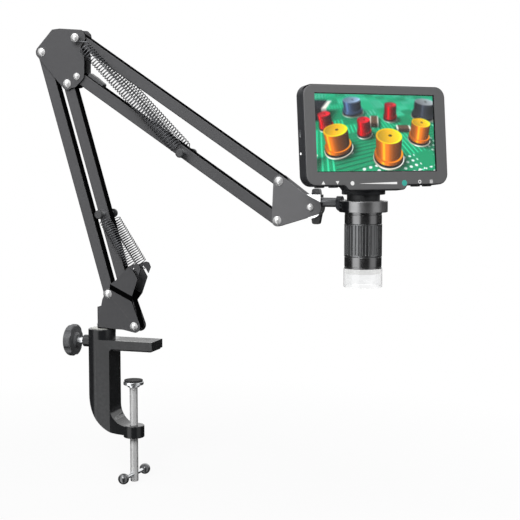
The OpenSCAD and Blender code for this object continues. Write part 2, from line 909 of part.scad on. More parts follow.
clamp_frame();
clamp_top_pad();
post_bushing();
pressure_disc();
disc_pad();
clamp_screw();
tommy_bar();
tommy_balls();
lock_knob();
lock_screw();
swivel_shaft();
base_bracket();
base_pivot_bolts();
base_caps();
base_washers();
lower_rear_tube();
lower_front_tube();
lower_spring_bolt();
lower_spring_nuts();
lower_springs();
elbow_plates();
elbow_pivot_bolts();
elbow_caps();
elbow_washers();
upper_top_tube();
upper_bottom_tube();
upper_spring_bolt();
upper_spring_nuts();
upper_springs();
elbow_bumper();
end_bracket();
end_pivot_bolts();
end_caps();
end_washers();
tilt_bolt();
swivel_block();
wing_knob();
mount_rod();
ring_clamp();
ring_screw();
barrel();
focus_ring();
nose_ring();
clear_shroud();
led_ring_board();
objective_lens();
sensor_board();
front_bezel();
back_shell();
cover_glass();
lcd_panel();
main_board();
battery();
usb_socket();
housing_screws();
button_up();
button_down();
button_record();
button_ok();
button_menu();
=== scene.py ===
"""Looks of a screen microscope on a spring-balanced boom arm with a table clamp.

Each class is one sub-assembly. It holds its own sizes in millimetres, models its pieces around
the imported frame, and dresses them and the frame's own nodes in procedural finishes.
"""

import logging
import math
from collections.abc import Callable, Iterator, Sequence
from contextlib import contextmanager
from dataclasses import dataclass, field
from enum import Enum
from functools import cache

import bmesh
import bpy
import numpy as np
from bpy.types import Material, Node, NodeSocket, NodeTree, Object
from mathutils import Matrix, Vector


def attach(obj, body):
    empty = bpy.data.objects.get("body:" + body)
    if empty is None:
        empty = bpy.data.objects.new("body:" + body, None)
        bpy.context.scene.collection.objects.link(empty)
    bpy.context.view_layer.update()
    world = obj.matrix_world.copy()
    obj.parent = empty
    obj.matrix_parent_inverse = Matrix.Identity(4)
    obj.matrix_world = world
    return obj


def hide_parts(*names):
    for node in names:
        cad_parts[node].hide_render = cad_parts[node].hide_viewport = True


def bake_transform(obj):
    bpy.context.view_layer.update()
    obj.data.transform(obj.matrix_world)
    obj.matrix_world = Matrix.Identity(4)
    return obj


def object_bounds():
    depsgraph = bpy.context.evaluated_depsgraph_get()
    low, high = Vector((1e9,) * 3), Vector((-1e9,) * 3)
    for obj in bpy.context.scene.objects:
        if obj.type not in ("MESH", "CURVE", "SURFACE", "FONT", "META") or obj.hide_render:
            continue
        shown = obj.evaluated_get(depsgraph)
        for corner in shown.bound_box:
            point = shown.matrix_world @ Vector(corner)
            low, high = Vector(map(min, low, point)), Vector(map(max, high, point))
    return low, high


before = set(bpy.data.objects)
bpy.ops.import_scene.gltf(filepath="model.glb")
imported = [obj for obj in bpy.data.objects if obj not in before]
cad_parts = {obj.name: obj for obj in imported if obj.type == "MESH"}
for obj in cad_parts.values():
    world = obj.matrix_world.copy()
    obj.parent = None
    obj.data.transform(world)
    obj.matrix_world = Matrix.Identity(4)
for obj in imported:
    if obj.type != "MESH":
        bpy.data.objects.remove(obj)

LOG = logging.getLogger("scene")
MM = 0.001
CAD_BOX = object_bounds()

Point = tuple[float, float]
Corner = tuple[float, float, float]
Colour = tuple[float, float, float]
Chip = tuple[float, float, float, float, float]
PairTest = Callable[[Vector, Vector], bool]

X_AXIS = Vector((1, 0, 0))
Y_AXIS = Vector((0, 1, 0))
Z_AXIS = Vector((0, 0, 1))


# ---------- outlines ----------


def arc(centre: Point, radius: float, start: float, stop: float, steps: int = 12) -> list[Point]:
    """Returns the points of an arc from start to stop, in degrees, in a number of steps."""
    angles = np.radians(np.linspace(start, stop, steps + 1))
    return [(centre[0] + radius * math.cos(a), centre[1] + radius * math.sin(a)) for a in angles]


def shifted(point: Point, dx: float, dy: float) -> Point:
    """Returns a point moved by dx and dy."""
    return (point[0] + dx, point[1] + dy)


def rounded(corners: Sequence[Corner], steps: int = 5) -> list[Point]:
    """Rounds the corners of a closed outline.

    Args:
        corners: place and radius of each corner in turn.
        steps: facets of each rounded corner.

    Returns:
        The outline's points.
    """
    points: list[Point] = []
    for index, (x, y, radius) in enumerate(corners):
        if radius == 0:
            points.append((x, y))
            continue
        here = Vector((x, y))
        before = (Vector(corners[index - 1][:2]) - here).normalized()
        after = (Vector(corners[(index + 1) % len(corners)][:2]) - here).normalized()
        half = before.angle(after) / 2
        centre = here + (before + after).normalized() * radius / math.sin(half)
        first = here + before * radius / math.tan(half) - centre
        last = here + after * radius / math.tan(half) - centre
        for step in range(steps + 1):
            spoke = first.lerp(last, step / steps).normalized() * radius
            points.append(tuple(centre + spoke))
    return points


def rounded_run(corners: Sequence[Corner], steps: int = 5) -> list[Point]:
    """Rounds the corners of an open run of points, apart from its two ends."""
    return rounded([(*corners[0][:2], 0), *corners[1:-1], (*corners[-1][:2], 0)], steps)


# ---------- modelling moves ----------


def pick(*objects: Object) -> Object:
    """Leaves only the given objects selected, with the first one active, and returns it."""
    active = bpy.context.view_layer.objects.active
    if active is not None and active.mode != "OBJECT":
        bpy.ops.object.mode_set(mode="OBJECT")
    bpy.ops.object.select_all(action="DESELECT")
    for obj in objects:
        obj.select_set(True)
    bpy.context.view_layer.objects.active = objects[0] if objects else None
    return objects[0] if objects else None


def adopt(name: str) -> Object:
    """Names the primitive that was just added and returns it."""
    obj = bpy.context.active_object
    obj.name = name
    obj.data.name = name
    return obj


@contextmanager
def edit(obj: Object, action: str = "DESELECT") -> Iterator[None]:
    """Opens a piece in edit mode with nothing or, for SELECT, all selected, and closes it."""
    pick(obj)
    bpy.ops.object.mode_set(mode="EDIT")
    bpy.ops.mesh.select_all(action=action)
    yield
    bpy.ops.object.mode_set(mode="OBJECT")


def select_edges(obj: Object, test: PairTest) -> None:
    """Selects the edges whose two ends, in millimetres, pass a test."""
    bpy.ops.mesh.select_mode(type="EDGE")
    mesh = bmesh.from_edit_mesh(obj.data)
    for edge in mesh.edges:
        edge.select_set(bool(test(edge.verts[0].co / MM, edge.verts[1].co / MM)))
    bmesh.update_edit_mesh(obj.data)


def bevel_edges(obj: Object, test: PairTest, width: float, segments: int) -> None:
    """Rounds the edges whose two ends pass a test, by a width in millimetres."""
    with edit(obj):
        select_edges(obj, test)
        bpy.ops.mesh.bevel(offset=width * MM, segments=segments)


def outward(obj: Object) -> Object:
    """Merges a piece's doubles and turns its faces outwards."""
    with edit(obj, "SELECT"):
        bpy.ops.mesh.remove_doubles(threshold=0.001 * MM)
        bpy.ops.mesh.normals_make_consistent(inside=False)
    return obj


def modify(obj: Object, kind: str, **settings: object) -> Object:
    """Adds a modifier with its settings and applies it.

    Args:
        obj: piece that is changed.
        kind: type of the modifier.
        settings: values of the modifier's properties.

    Returns:
        The piece.
    """
    pick(obj)
    bpy.ops.object.modifier_add(type=kind)
    modifier = obj.modifiers[-1]
    for key, value in settings.items():
        setattr(modifier, key, value)
    bpy.ops.object.modifier_apply(modifier=modifier.name)
    return obj


def smooth(obj: Object, angle: float = 32) -> Object:
    """Shades a piece smooth, except across edges sharper than the angle in degrees."""
    pick(obj)
    bpy.ops.object.shade_smooth_by_angle(angle=math.radians(angle))
    return modify(obj, "WEIGHTED_NORMAL", weight=60, keep_sharp=True)


def ease(obj: Object, width: float, segments: int = 3, angle: float = 28) -> Object:
    """Rounds a piece's sharp edges.

    Args:
        obj: piece that is changed.
        width: width of the rounding, in millimetres.
        segments: facets across the rounding.
        angle: sharpness above which an edge is rounded, in degrees.

    Returns:
        The piece, shaded smooth.
    """
    modify(obj, "BEVEL", width=width * MM, segments=segments, limit_method="ANGLE",
           angle_limit=math.radians(angle), harden_normals=True)
    return smooth(obj)


def combine(obj: Object, *tools: Object, operation: str = "DIFFERENCE") -> Object:
    """Cuts, joins or trims a piece with others, which are used up.

    Args:
        obj: piece that is changed.
        tools: closed pieces that change it.
        operation: DIFFERENCE, UNION or INTERSECT.

    Returns:
        The piece, cleaned of the cut's slivers.
    """
    for tool in tools:
        modify(obj, "BOOLEAN", operation=operation, object=tool, solver="EXACT")
        bpy.data.objects.remove(tool)
    with edit(obj, "SELECT"):
        bpy.ops.mesh.remove_doubles(threshold=0.004 * MM)
        bpy.ops.mesh.dissolve_limited(angle_limit=math.radians(0.4))
        bpy.ops.mesh.delete_loose(use_verts=True, use_edges=True, use_faces=False)
    return obj


def join(name: str, *pieces: Object) -> Object:
    """Joins pieces into one of the given name."""
    obj = pick(*pieces)
    if len(pieces) > 1:
        bpy.ops.object.join()
    obj.name = name
    obj.data.name = name
    return obj


def place(obj: Object, move: Matrix) -> Object:
    """Moves a piece's mesh and leaves the object at the origin."""
    pick(obj)
    obj.matrix_world = move
    bpy.ops.object.transform_apply(location=True, rotation=True, scale=True)
    return obj


def copied(obj: Object, name: str, move: Matrix) -> Object:
    """Returns a moved copy of a piece with its own mesh."""
    pick(obj)
    bpy.ops.object.duplicate(linked=False)
    return place(adopt(name), move)


def facing(centre: Sequence[float], direction: Vector) -> Matrix:
    """Returns the move that stands an upright shape at centre, pointing along direction."""
    turn = Z_AXIS.rotation_difference(direction)
    return Matrix.Translation(Vector(centre) * MM) @ turn.to_matrix().to_4x4()


def along(start: Point, stop: Point, y: float = 0.0) -> Matrix:
    """Returns the move that lays local X on the line from start to stop, with Z above it."""
    lean = math.atan2(stop[1] - start[1], stop[0] - start[0])
    middle = Vector((start[0], y, start[1])) * MM
    return Matrix.Translation(middle) @ Matrix.Rotation(-lean, 4, "Y")


def ring_of_points(name: str, points: Sequence[Sequence[float]], filled: bool) -> Object:
    """Starts a piece from a circle whose corners are carried to the given points.

    Args:
        name: name of the piece.
        points: places of the corners, in millimetres.
        filled: whether the circle is a face.

    Returns:
        The flat piece.
    """
    pick()
    fill = "NGON" if filled else "NOTHING"
    bpy.ops.mesh.primitive_circle_add(vertices=len(points), radius=MM, fill_type=fill)
    obj = adopt(name)
    for vertex, point in zip(obj.data.vertices, points):
        vertex.co = Vector(point) * MM
    return obj


def prism(name: str, points: Sequence[Sequence[float]], run: Corner) -> Object:
    """Makes a solid by pushing a flat outline of points along a run."""
    obj = ring_of_points(name, points, filled=True)
    with edit(obj, "SELECT"):
        bpy.ops.mesh.extrude_region_move(
            TRANSFORM_OT_translate={"value": tuple(part * MM for part in run)}
        )
    return outward(obj)


def slab(name: str, outline: Sequence[Point], y0: float, y1: float) -> Object:
    """Makes a plate from an outline in the XZ plane, thick from y0 to y1."""
    return prism(name, [(x, y0, z) for x, z in outline], (0, y1 - y0, 0))


def block(name: str, low: Sequence[float], high: Sequence[float]) -> Object:
    """Makes a box between two corners."""
    pick()
    middle = (Vector(low) + Vector(high)) / 2
    bpy.ops.mesh.primitive_cube_add(size=1, location=middle * MM)
    obj = adopt(name)
    obj.scale = (Vector(high) - Vector(low)) * MM
    return place(obj, obj.matrix_basis.copy())


def turned(
    name: str, profile: Sequence[Point], centre: Sequence[float] = (0, 0, 0),
    direction: Vector = Z_AXIS, steps: int = 72, shade: float = 32
) -> Object:
    """Makes a turned piece by spinning a closed profile.

    Args:
        name: name of the piece.
        profile: radius and height of the profile's points in turn.
        centre: place of the profile's origin.
        direction: direction of the axis.
        steps: facets around the piece.
        shade: angle up to which the shading is smooth, in degrees.

    Returns:
        The closed piece.
    """
    obj = ring_of_points(name, [(r, 0, h) for r, h in profile], filled=False)
    with edit(obj, "SELECT"):
        bpy.ops.mesh.spin(steps=steps, angle=math.tau, center=(0, 0, 0), axis=(0, 0, 1))
        bpy.ops.mesh.select_all(action="SELECT")
        bpy.ops.mesh.remove_doubles(threshold=0.002 * MM)
        bpy.ops.mesh.dissolve_degenerate(threshold=0.001 * MM)
        bpy.ops.mesh.delete_loose(use_verts=True, use_edges=True, use_faces=False)
        bpy.ops.mesh.select_all(action="SELECT")
        bpy.ops.mesh.normals_make_consistent(inside=False)
    return smooth(place(obj, facing(centre, direction)), shade)


def turned_pair(
    name: str, profile: Sequence[Point], middle: Sequence[float], axis: Vector, reach: float,
    steps: int = 48, shade: float = 32
) -> list[Object]:
    """Makes a turned piece on each side of a place, facing away from it.

    Args:
        name: start of the pieces' names.
        profile: radius and height of the profile's points in turn.
        middle: place between the pieces.
        axis: direction from it to the second piece.
        reach: distance of each piece's origin.
        steps: facets around each piece.
        shade: angle up to which the shading is smooth, in degrees.

    Returns:
        The two pieces.
    """
    return [turned(f"{name}_{side}", profile, Vector(middle) + axis * side * reach, axis * side,
                   steps, shade) for side in (-1, 1)]


def rod_profile(radius: float, low: float, high: float, chamfer: float) -> list[Point]:
    """Returns the profile of a solid bar with eased ends."""
    corners = [(0, low, 0), (radius, low, chamfer), (radius, high, chamfer), (0, high, 0)]
    return rounded(corners)


def ring_profile(inner: float, outer: float, low: float, high: float, edge: float) -> list[Point]:
    """Returns the profile of a ring with eased edges."""
    corners = [(inner, low, edge), (outer, low, edge), (outer, high, edge), (inner, high, edge)]
    return rounded(corners)


def y_rod(name: str, at: Point, y0: float, y1: float, radius: float, chamfer: float = 0) -> Object:
    """Makes a round bar along Y."""
    return turned(name, rod_profile(radius, y0, y1, chamfer), (at[0], 0, at[1]), Y_AXIS, 48)


def x_rod(name: str, x0: float, x1: float, z: float, radius: float, chamfer: float = 0) -> Object:
    """Makes a round bar along X."""
    return turned(name, rod_profile(radius, x0, x1, chamfer), (0, 0, z), X_AXIS, 48)


def wire(name: str, path: np.ndarray, radius: float) -> Object:
    """Makes a round wire along a path.

    Args:
        name: name of the piece.
        path: points of the wire's middle, in millimetres.
        radius: radius of the wire.

    Returns:
        The wire as a mesh with closed ends.
    """
    pick()
    bpy.ops.curve.primitive_nurbs_path_add()
    obj = adopt(name)
    obj.data.splines.clear()
    spline = obj.data.splines.new("POLY")
    spline.points.add(len(path) - 1)
    for point, place_mm in zip(spline.points, path):
        point.co = (*(place_mm * MM), 1)
    obj.data.bevel_depth = radius * MM
    obj.data.bevel_resolution = 2
    obj.data.use_fill_caps = True
    pick(obj)
    bpy.ops.object.convert(target="MESH")
    return smooth(outward(adopt(name)), 60)


# ---------- finishes ----------


def ink(code: str) -> Colour:
    """Turns a hex colour as seen on a screen into linear light."""
    parts = [int(code[start : start + 2], 16) / 255 for start in (0, 2, 4)]
    return tuple(p / 12.92 if p <= 0.04045 else ((p + 0.055) / 1.055) ** 2.4 for p in parts)


class Wiring:
    """Adds and joins the nodes of one tree."""

    def __init__(self, tree: NodeTree) -> None:
        """Keeps the tree that the nodes go into."""
        self.tree = tree

    def add(self, kind: str, **settings: object) -> Node:
        """Adds a node and sets its properties."""
        node = self.tree.nodes.new(kind)
        for name, value in settings.items():
            setattr(node, name, value)
        return node

    def feed(self, target: NodeSocket, source: NodeSocket | float | Sequence[float]) -> None:
        """Joins a socket to another, or sets its value."""
        if isinstance(source, NodeSocket):
            self.tree.links.new(source, target)
        else:
            target.default_value = source

    def spot(self) -> NodeSocket:
        """Returns the place on the piece."""
        return self.add("ShaderNodeTexCoord").outputs["Object"]

    def noise(self, vector: NodeSocket, scale: NodeSocket | float, detail: float) -> NodeSocket:
        """Adds a noise and returns its value."""
        node = self.add("ShaderNodeTexNoise")
        self.feed(node.inputs["Vector"], vector)
        self.feed(node.inputs["Scale"], scale)
        self.feed(node.inputs["Detail"], detail)
        return node.outputs["Fac"]

    def ranged(self, value: NodeSocket, old: Point, new: Point) -> NodeSocket:
        """Carries a value from one range to another, without leaving it."""
        node = self.add("ShaderNodeMapRange")
        self.feed(node.inputs["Value"], value)
        for name, number in zip(("From Min", "From Max", "To Min", "To Max"), (*old, *new)):
            self.feed(node.inputs[name], number)
        return node.outputs["Result"]

    def math(self, operation: str, first: NodeSocket, second: NodeSocket | float) -> NodeSocket:
        """Joins two values by an operation."""
        node = self.add("ShaderNodeMath", operation=operation)
        self.feed(node.inputs[0], first)
        self.feed(node.inputs[1], second)
        return node.outputs["Value"]

    def mix(
        self, factor: NodeSocket, first: NodeSocket | Colour, second: NodeSocket | Colour
    ) -> NodeSocket:
        """Mixes two colours by a factor."""
        node = self.add("ShaderNodeMix", data_type="RGBA")
        colours = [c if isinstance(c, NodeSocket) else (*c, 1) for c in (first, second)]
        self.feed(node.inputs[0], factor)
        self.feed(node.inputs[6], colours[0])
        self.feed(node.inputs[7], colours[1])
        return node.outputs[2]


def new_group(name: str, inputs: dict[str, str], outputs: Sequence[str]) -> tuple[Wiring, Node, Node]:
    """Starts a shader group.

    Args:
        name: name of the group.
        inputs: names and kinds of its inputs.
        outputs: names of its outputs, which are values.

    Returns:
        Its wiring, and the nodes of its inputs and outputs.
    """
    tree = bpy.data.node_groups.new(name, "ShaderNodeTree")
    for socket, kind in inputs.items():
        tree.interface.new_socket(socket, in_out="INPUT", socket_type=f"NodeSocket{kind}")
    for socket in outputs:
        tree.interface.new_socket(socket, in_out="OUTPUT", socket_type="NodeSocketFloat")
    wiring = Wiring(tree)
    return wiring, wiring.add("NodeGroupInput"), wiring.add("NodeGroupOutput")


@cache
def grain_group() -> NodeTree:
    """Returns the shader group of a surface's fine relief and its slow mottling."""
    inputs = {"Scale": "Float", "Stretch": "Vector"}
    wiring, given, result = new_group("surface_grain", inputs, ("Relief", "Mottle"))
    spread = wiring.add("ShaderNodeVectorMath", operation="MULTIPLY")
    wiring.feed(spread.inputs[0], wiring.spot())
    wiring.feed(spread.inputs[1], given.outputs["Stretch"])
    fine = wiring.noise(spread.outputs[0], given.outputs["Scale"], 3)
    wiring.feed(result.inputs["Relief"], fine)
    slow_scale = wiring.math("MULTIPLY", given.outputs["Scale"], 0.05)
    slow = wiring.noise(wiring.spot(), slow_scale, 4)
    wiring.feed(result.inputs["Mottle"], wiring.ranged(slow, (0.3, 0.7), (0, 1)))
    return wiring.tree


@cache
def edge_group() -> NodeTree:
    """Returns the shader group that finds a piece's convex edges, for rubbed paint and a painted highlight.
    """
    wiring, given, result = new_group("worn_and_highlit_edges", {"Strength": "Float"}, ("Edge",))
    geometry = wiring.add("ShaderNodeNewGeometry")
    convex = wiring.ranged(geometry.outputs["Pointiness"], (0.51, 0.6), (0, 1))
    patchy = wiring.noise(wiring.spot(), 260, 4)
    worn_and_lit = wiring.math("MULTIPLY", convex, wiring.ranged(patchy, (0.35, 0.65), (0.35, 1)))
    wiring.feed(result.inputs["Edge"], wiring.math("MULTIPLY", worn_and_lit, given.outputs["Strength"]))
    return wiring.tree


@dataclass
class Surface:
    """A new material with its grain, whose mottling already varies the roughness.

    Attributes:
        name: name of the material.
        roughness: lowest and highest roughness.
        scale: scale of the grain.
        stretch: how much finer the grain is along X, Y and Z.
    """

    name: str
    roughness: Point
    scale: float
    stretch: Corner = (1, 1, 1)
    material: Material = field(init=False)
    wiring: Wiring = field(init=False)
    shader: Node = field(init=False)
    grain: Node = field(init=False)

    def __post_init__(self) -> None:
        """Makes the material, its wiring, its shader and its grain."""
        self.material = bpy.data.materials.new(self.name)
        self.material.use_nodes = True
        self.wiring = Wiring(self.material.node_tree)
        self.shader = self.material.node_tree.nodes["Principled BSDF"]
        self.grain = self.wiring.add("ShaderNodeGroup", node_tree=grain_group())
        self.grain.inputs["Scale"].default_value = self.scale
        self.grain.inputs["Stretch"].default_value = self.stretch
        rough = self.wiring.ranged(self.grain.outputs["Mottle"], (0, 1), self.roughness)
        self.feed("Roughness", rough)

    def feed(self, socket: str, source: NodeSocket | float | Sequence[float]) -> None:
        """Joins a socket of the shader to another, or sets its value."""
        self.wiring.feed(self.shader.inputs[socket], source)

    def mottled(self, dark: Colour, light: Colour) -> NodeSocket:
        """Returns a colour that the mottling carries from dark to light."""
        return self.wiring.mix(self.grain.outputs["Mottle"], dark, light)


@dataclass(frozen=True)
class Finish:
    """An opaque finish with grain, mottling and lighter edges.

    Attributes:
        name: name of the material.
        colour: main colour.
        roughness: lowest and highest roughness.
        metallic: how far it is a metal.
        grain: size of the grain, in millimetres.
        relief: depth of the grain, in millimetres.
        stretch: how much finer the grain is along X, Y and Z.
        mottle: how far the slow mottling darkens the colour.
        edge: colour of the edges, partly rubbed paint and partly a painted highlight.
        wear_and_glint: how strongly the edges show.
        coat: weight of a clear coat.
        shine: specular level.
    """

    name: str
    colour: Colour
    roughness: Point = (0.45, 0.55)
    metallic: float = 0.0
    grain: float = 0.8
    relief: float = 0.02
    stretch: Corner = (1.0, 1.0, 1.0)
    mottle: float = 0.12
    edge: Colour = (0.3, 0.3, 0.3)
    wear_and_glint: float = 0.0
    coat: float = 0.0
    shine: float = 0.5

    @cache
    def material(self) -> Material:
        """Returns the finish as a material."""
        surface = Surface(self.name, self.roughness, 1 / (self.grain * MM), self.stretch)
        wiring = surface.wiring
        dark = tuple(c * (1 - self.mottle) for c in self.colour)
        light = tuple(min(1.0, c * (1 + self.mottle)) for c in self.colour)
        colour = surface.mottled(dark, light)
        # Lighter convex edges: partly rubbed paint, partly painted highlight.
        if self.wear_and_glint > 0:
            edges = wiring.add("ShaderNodeGroup", node_tree=edge_group())
            edges.inputs["Strength"].default_value = self.wear_and_glint
            colour = wiring.mix(edges.outputs["Edge"], colour, self.edge)
        surface.feed("Base Color", colour)
        bump = wiring.add("ShaderNodeBump")
        bump.inputs["Strength"].default_value = 1.0
        bump.inputs["Distance"].default_value = self.relief * MM
        wiring.feed(bump.inputs["Height"], surface.grain.outputs["Relief"])
        surface.feed("Normal", bump.outputs["Normal"])
        surface.feed("Metallic", self.metallic)
        surface.feed("Specular IOR Level", self.shine)
        surface.feed("Coat Weight", self.coat)
        surface.feed("Coat Roughness", 0.06)
        return surface.material


@dataclass(frozen=True)
class ClearFinish:
    """A clear plastic or glass finish.

    Attributes:
        name: name of the material.
        tint: colour of what passes through.
        roughness: lowest and highest roughness.
        bending: index of refraction.
    """

    name: str
    tint: Colour
    roughness: Point = (0.02, 0.06)
    bending: float = 1.45

    @cache
    def material(self) -> Material:
        """Returns the finish as a material."""
        surface = Surface(self.name, self.roughness, 300)
        faint = tuple(c * 0.96 for c in self.tint)
        surface.feed("Base Color", surface.mottled(faint, self.tint))
        surface.feed("IOR", self.bending)
        surface.feed("Transmission Weight", 1.0)
        return surface.material


@dataclass(frozen=True)
class GlowFinish:
    """A lit surface, evenly lit or painted with a colour attribute.

    Attributes:
        name: name of the material.
        colour: colour of the light.
        strength: strength of the light.
        attribute: colour attribute that holds a picture, or nothing.
    """

    name: str
    colour: Colour
    strength: float = 1.0
    attribute: str = ""

    @cache
    def material(self) -> Material:
        """Returns the finish as a material."""
        surface = Surface(self.name, (0.3, 0.4), 500)
        if self.attribute:
            light = surface.wiring.add("ShaderNodeVertexColor", layer_name=self.attribute)
            light = light.outputs["Color"]
        else:
            light = surface.mottled(tuple(c * 0.9 for c in self.colour), self.colour)
        surface.feed("Emission Color", light)
        surface.feed("Base Color", (*(c * 0.05 for c in self.colour), 1))
        surface.feed("Emission Strength", self.strength)
        return surface.material


def powder_coat(name: str, colour: str, edge: str) -> Finish:
    """Returns the satin coat of the sheet and the tubes in a colour, with its edges' colour."""
    return Finish(name, ink(colour), (0.42, 0.52), 0, 0.5, 0.012,
                  mottle=0.03, edge=ink(edge), wear_and_glint=0.2, shine=0.25)


class Look(Enum):
    """The finishes of the whole object."""

    CASTING = Finish("cast_powder_coat", ink("2c2d2f"), (0.17, 0.24), 0, 0.7, 0.002,
                     mottle=0.03, edge=ink("6b6c6e"), wear_and_glint=0.3, shine=0.3)
    PLATE = powder_coat("plate_powder_coat", "535355", "7b7c7e")
    TUBE = powder_coat("tube_powder_coat", "5f5f61", "737476")
    UPPER_TUBE = powder_coat("upper_tube_powder_coat", "5b5b5d", "7d7e80")
    END_PLATE = powder_coat("end_powder_coat", "7d7d7f", "8d8e90")
    # Near-black coat without shine: painted shade, for sides and top faces that the lamps would otherwise
    # light.
    EDGE_COAT = Finish("edge_powder_coat", ink("161617"), (0.5, 0.6), 0, 0.5, 0.01,
                       mottle=0.04, shine=0.0)
    RUBBER = Finish("moulded_rubber", ink("1d1d1e"), (0.75, 0.9), 0, 0.5, 0.04)
    NYLON = Finish("natural_nylon", ink("dcdcd6"), (0.4, 0.5), 0, 1.2, 0.01, mottle=0.03)
    ZINC = Finish("bright_zinc", ink("d6d8da"), (0.2, 0.3), 0.8, 0.5, 0.006, mottle=0.04)
    # Near-white colour without metal: a painted reflection of white surroundings on the plated screw.
    SCREW = Finish("bright_screw", ink("fcfcfc"), (0.3, 0.38), 0, 0.7, 0.003, mottle=0.02, coat=1.0)
    # Near-white colour with little metal: a painted reflection of white surroundings on the polished caps.
    CAP = Finish("bright_cap", ink("fafafa"), (0.22, 0.3), 0.2, 0.9, 0.003, mottle=0.02)
    CHROME = Finish("polished_chrome", ink("f0f1f2"), (0.08, 0.14), 0.9, 1.5, 0.002, mottle=0.02)
    BALL = Finish("polished_ball", ink("5c5d5f"), (0.32, 0.38), 0.7, 1.0, 0.002, coat=1.0)
    KNOB = Finish("moulded_knob", ink("3c3d3f"), (0.36, 0.48), 0, 0.5, 0.03,
                  mottle=0.06, edge=ink("707173"), wear_and_glint=0.4)
    LOCK_KNOB = Finish("grained_knob", ink("767779"), (0.5, 0.6), 0, 0.5, 0.04,
                       mottle=0.05, edge=ink("7d7e80"), wear_and_glint=0.3, shine=0.3)
    SPRING = Finish("drawn_spring_wire", ink("626366"), (0.3, 0.42), 0.6, 0.4, 0.006, mottle=0.1)
    ROD = Finish("satin_black_rod", ink("4a4b4d"), (0.3, 0.4), 0.6, 0.5, 0.005,
                 stretch=(0.2, 1, 1))
    RING = Finish("satin_ring", ink("8c8c8d"), (0.3, 0.36), 0.85, 0.5, 0.006,
                  stretch=(1, 1, 6), edge=ink("a0a2a4"), wear_and_glint=0.4)
    BARREL = Finish("anodised_barrel", ink("747475"), (0.2, 0.28), 0.92, 0.4, 0.004,
                    stretch=(1, 1, 8), mottle=0.06, edge=ink("97999c"), wear_and_glint=0.4)
    GRIP = Finish("anodised_grip", ink("68696a"), (0.26, 0.34), 0.88, 0.4, 0.004,
                  mottle=0.06, edge=ink("8b8d90"), wear_and_glint=0.5)
    BOARD = Finish("green_circuit_board", ink("1f6b43"), (0.3, 0.45), 0, 2.5, 0.03, mottle=0.25)
    LAMP_BOARD = Finish("white_lamp_board", ink("e4e6df"), (0.4, 0.5), 0, 1.5, 0.02, mottle=0.04)
    BEZEL = Finish("satin_bezel", ink("8d8d8e"), (0.42, 0.5), 0, 0.35, 0.01,
                   mottle=0.02, edge=ink("88898b"), wear_and_glint=0.2, shine=0.25)
    SHELL = Finish("textured_shell", ink("333437"), (0.5, 0.62), 0, 0.4, 0.03,
                   mottle=0.04, edge=ink("55565a"), wear_and_glint=0.2, shine=0.3)
    KEY = Finish("moulded_key", ink("2a2b2d"), (0.45, 0.55), 0, 0.4, 0.02)
    BORDER = Finish("screen_border", ink("0b0b0c"), (0.2, 0.3), 0, 1.0, 0.002)
    FOIL = Finish("battery_foil", ink("b9bcc2"), (0.25, 0.4), 0.9, 3.0, 0.05)
    # Blackened screws and lens cell; on the ring's left side it is also painted shade.
    BLACK_SCREW = Finish("blackened_screw", ink("26272a"), (0.3, 0.45), 0.8, 0.4, 0.01)
    # The marks' white is print, but it glows: its brightness is painted light.
    PRINT = GlowFinish("white_print", (0.96, 0.96, 0.95), 0.9)
    TEAL = GlowFinish("teal_print", ink("35b8a8"), 0.75)
    SPIGOT = GlowFinish("lit_spigot", (1.0, 1.0, 0.99), 0.75)
    GLASS = ClearFinish("cover_glass_clear", (0.97, 0.98, 0.98), (0.0, 0.02), 1.12)
    SHROUD = ClearFinish("clear_shroud_plastic", (0.965, 0.968, 0.97), (0.02, 0.08), 1.42)
    LENS = ClearFinish("coated_lens", (0.7, 0.8, 0.88), (0.0, 0.03), 1.5)
    PICTURE = GlowFinish("live_view", (0.05, 0.05, 0.05), 1.0, "picture")
    LAMP = GlowFinish("white_lamp", (1.0, 0.99, 0.96), 9.0)
    CHARGE_LAMP = GlowFinish("charge_lamp", (1.0, 1.0, 1.0), 1.6)


def finish_piece(obj: Object, look: Look, body: str, slot: str, *nodes: str) -> Object:
    """Finishes a piece: its material, its body and the nodes that it stands for.

    Args:
        obj: finished piece.
        look: its finish.
        body: body that it rides on, or nothing.
        slot: not used.
        nodes: nodes of the frame that it replaces.

    Returns:
        The piece.
    """
    obj.data.materials.clear()
    obj.data.materials.append(look.value.material())
    if body:
        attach(obj, body)
    if nodes:
        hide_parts(*nodes)
    LOG.info("%s: %d faces, in place of %s", obj.name, len(obj.data.polygons), nodes or "nothing")
    return obj


def two_tone(obj: Object, look: Look, test: PairTest) -> None:
    """Gives a second finish to the faces whose centre, in millimetres, and normal pass a test."""
    obj.data.materials.append(look.value.material())
    for face in obj.data.polygons:
        if test(face.center / MM, face.normal):
            face.material_index = len(obj.data.materials) - 1


def paint_side_shade(obj: Object) -> None:
    """Paints shade on the faces that don't face along Y, with the near-black coat."""
    two_tone(obj, Look.EDGE_COAT, lambda centre, normal: abs(normal.y) < 0.75)


def dress_nodes(look: Look, *nodes: str) -> None:
    """Gives some nodes of the frame their finish."""
    for node in nodes:
        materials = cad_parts[node].data.materials
        materials.clear()
        materials.append(look.value.material())
        LOG.info("%s: dressed in %s", node, look.value.name)


# ---------- the arm's layout ----------


def ahead(start: Point, direction: Point, distance: float) -> Point:
    """Returns the point at a distance from start along a direction."""
    return shifted(start, direction[0] * distance, direction[1] * distance)


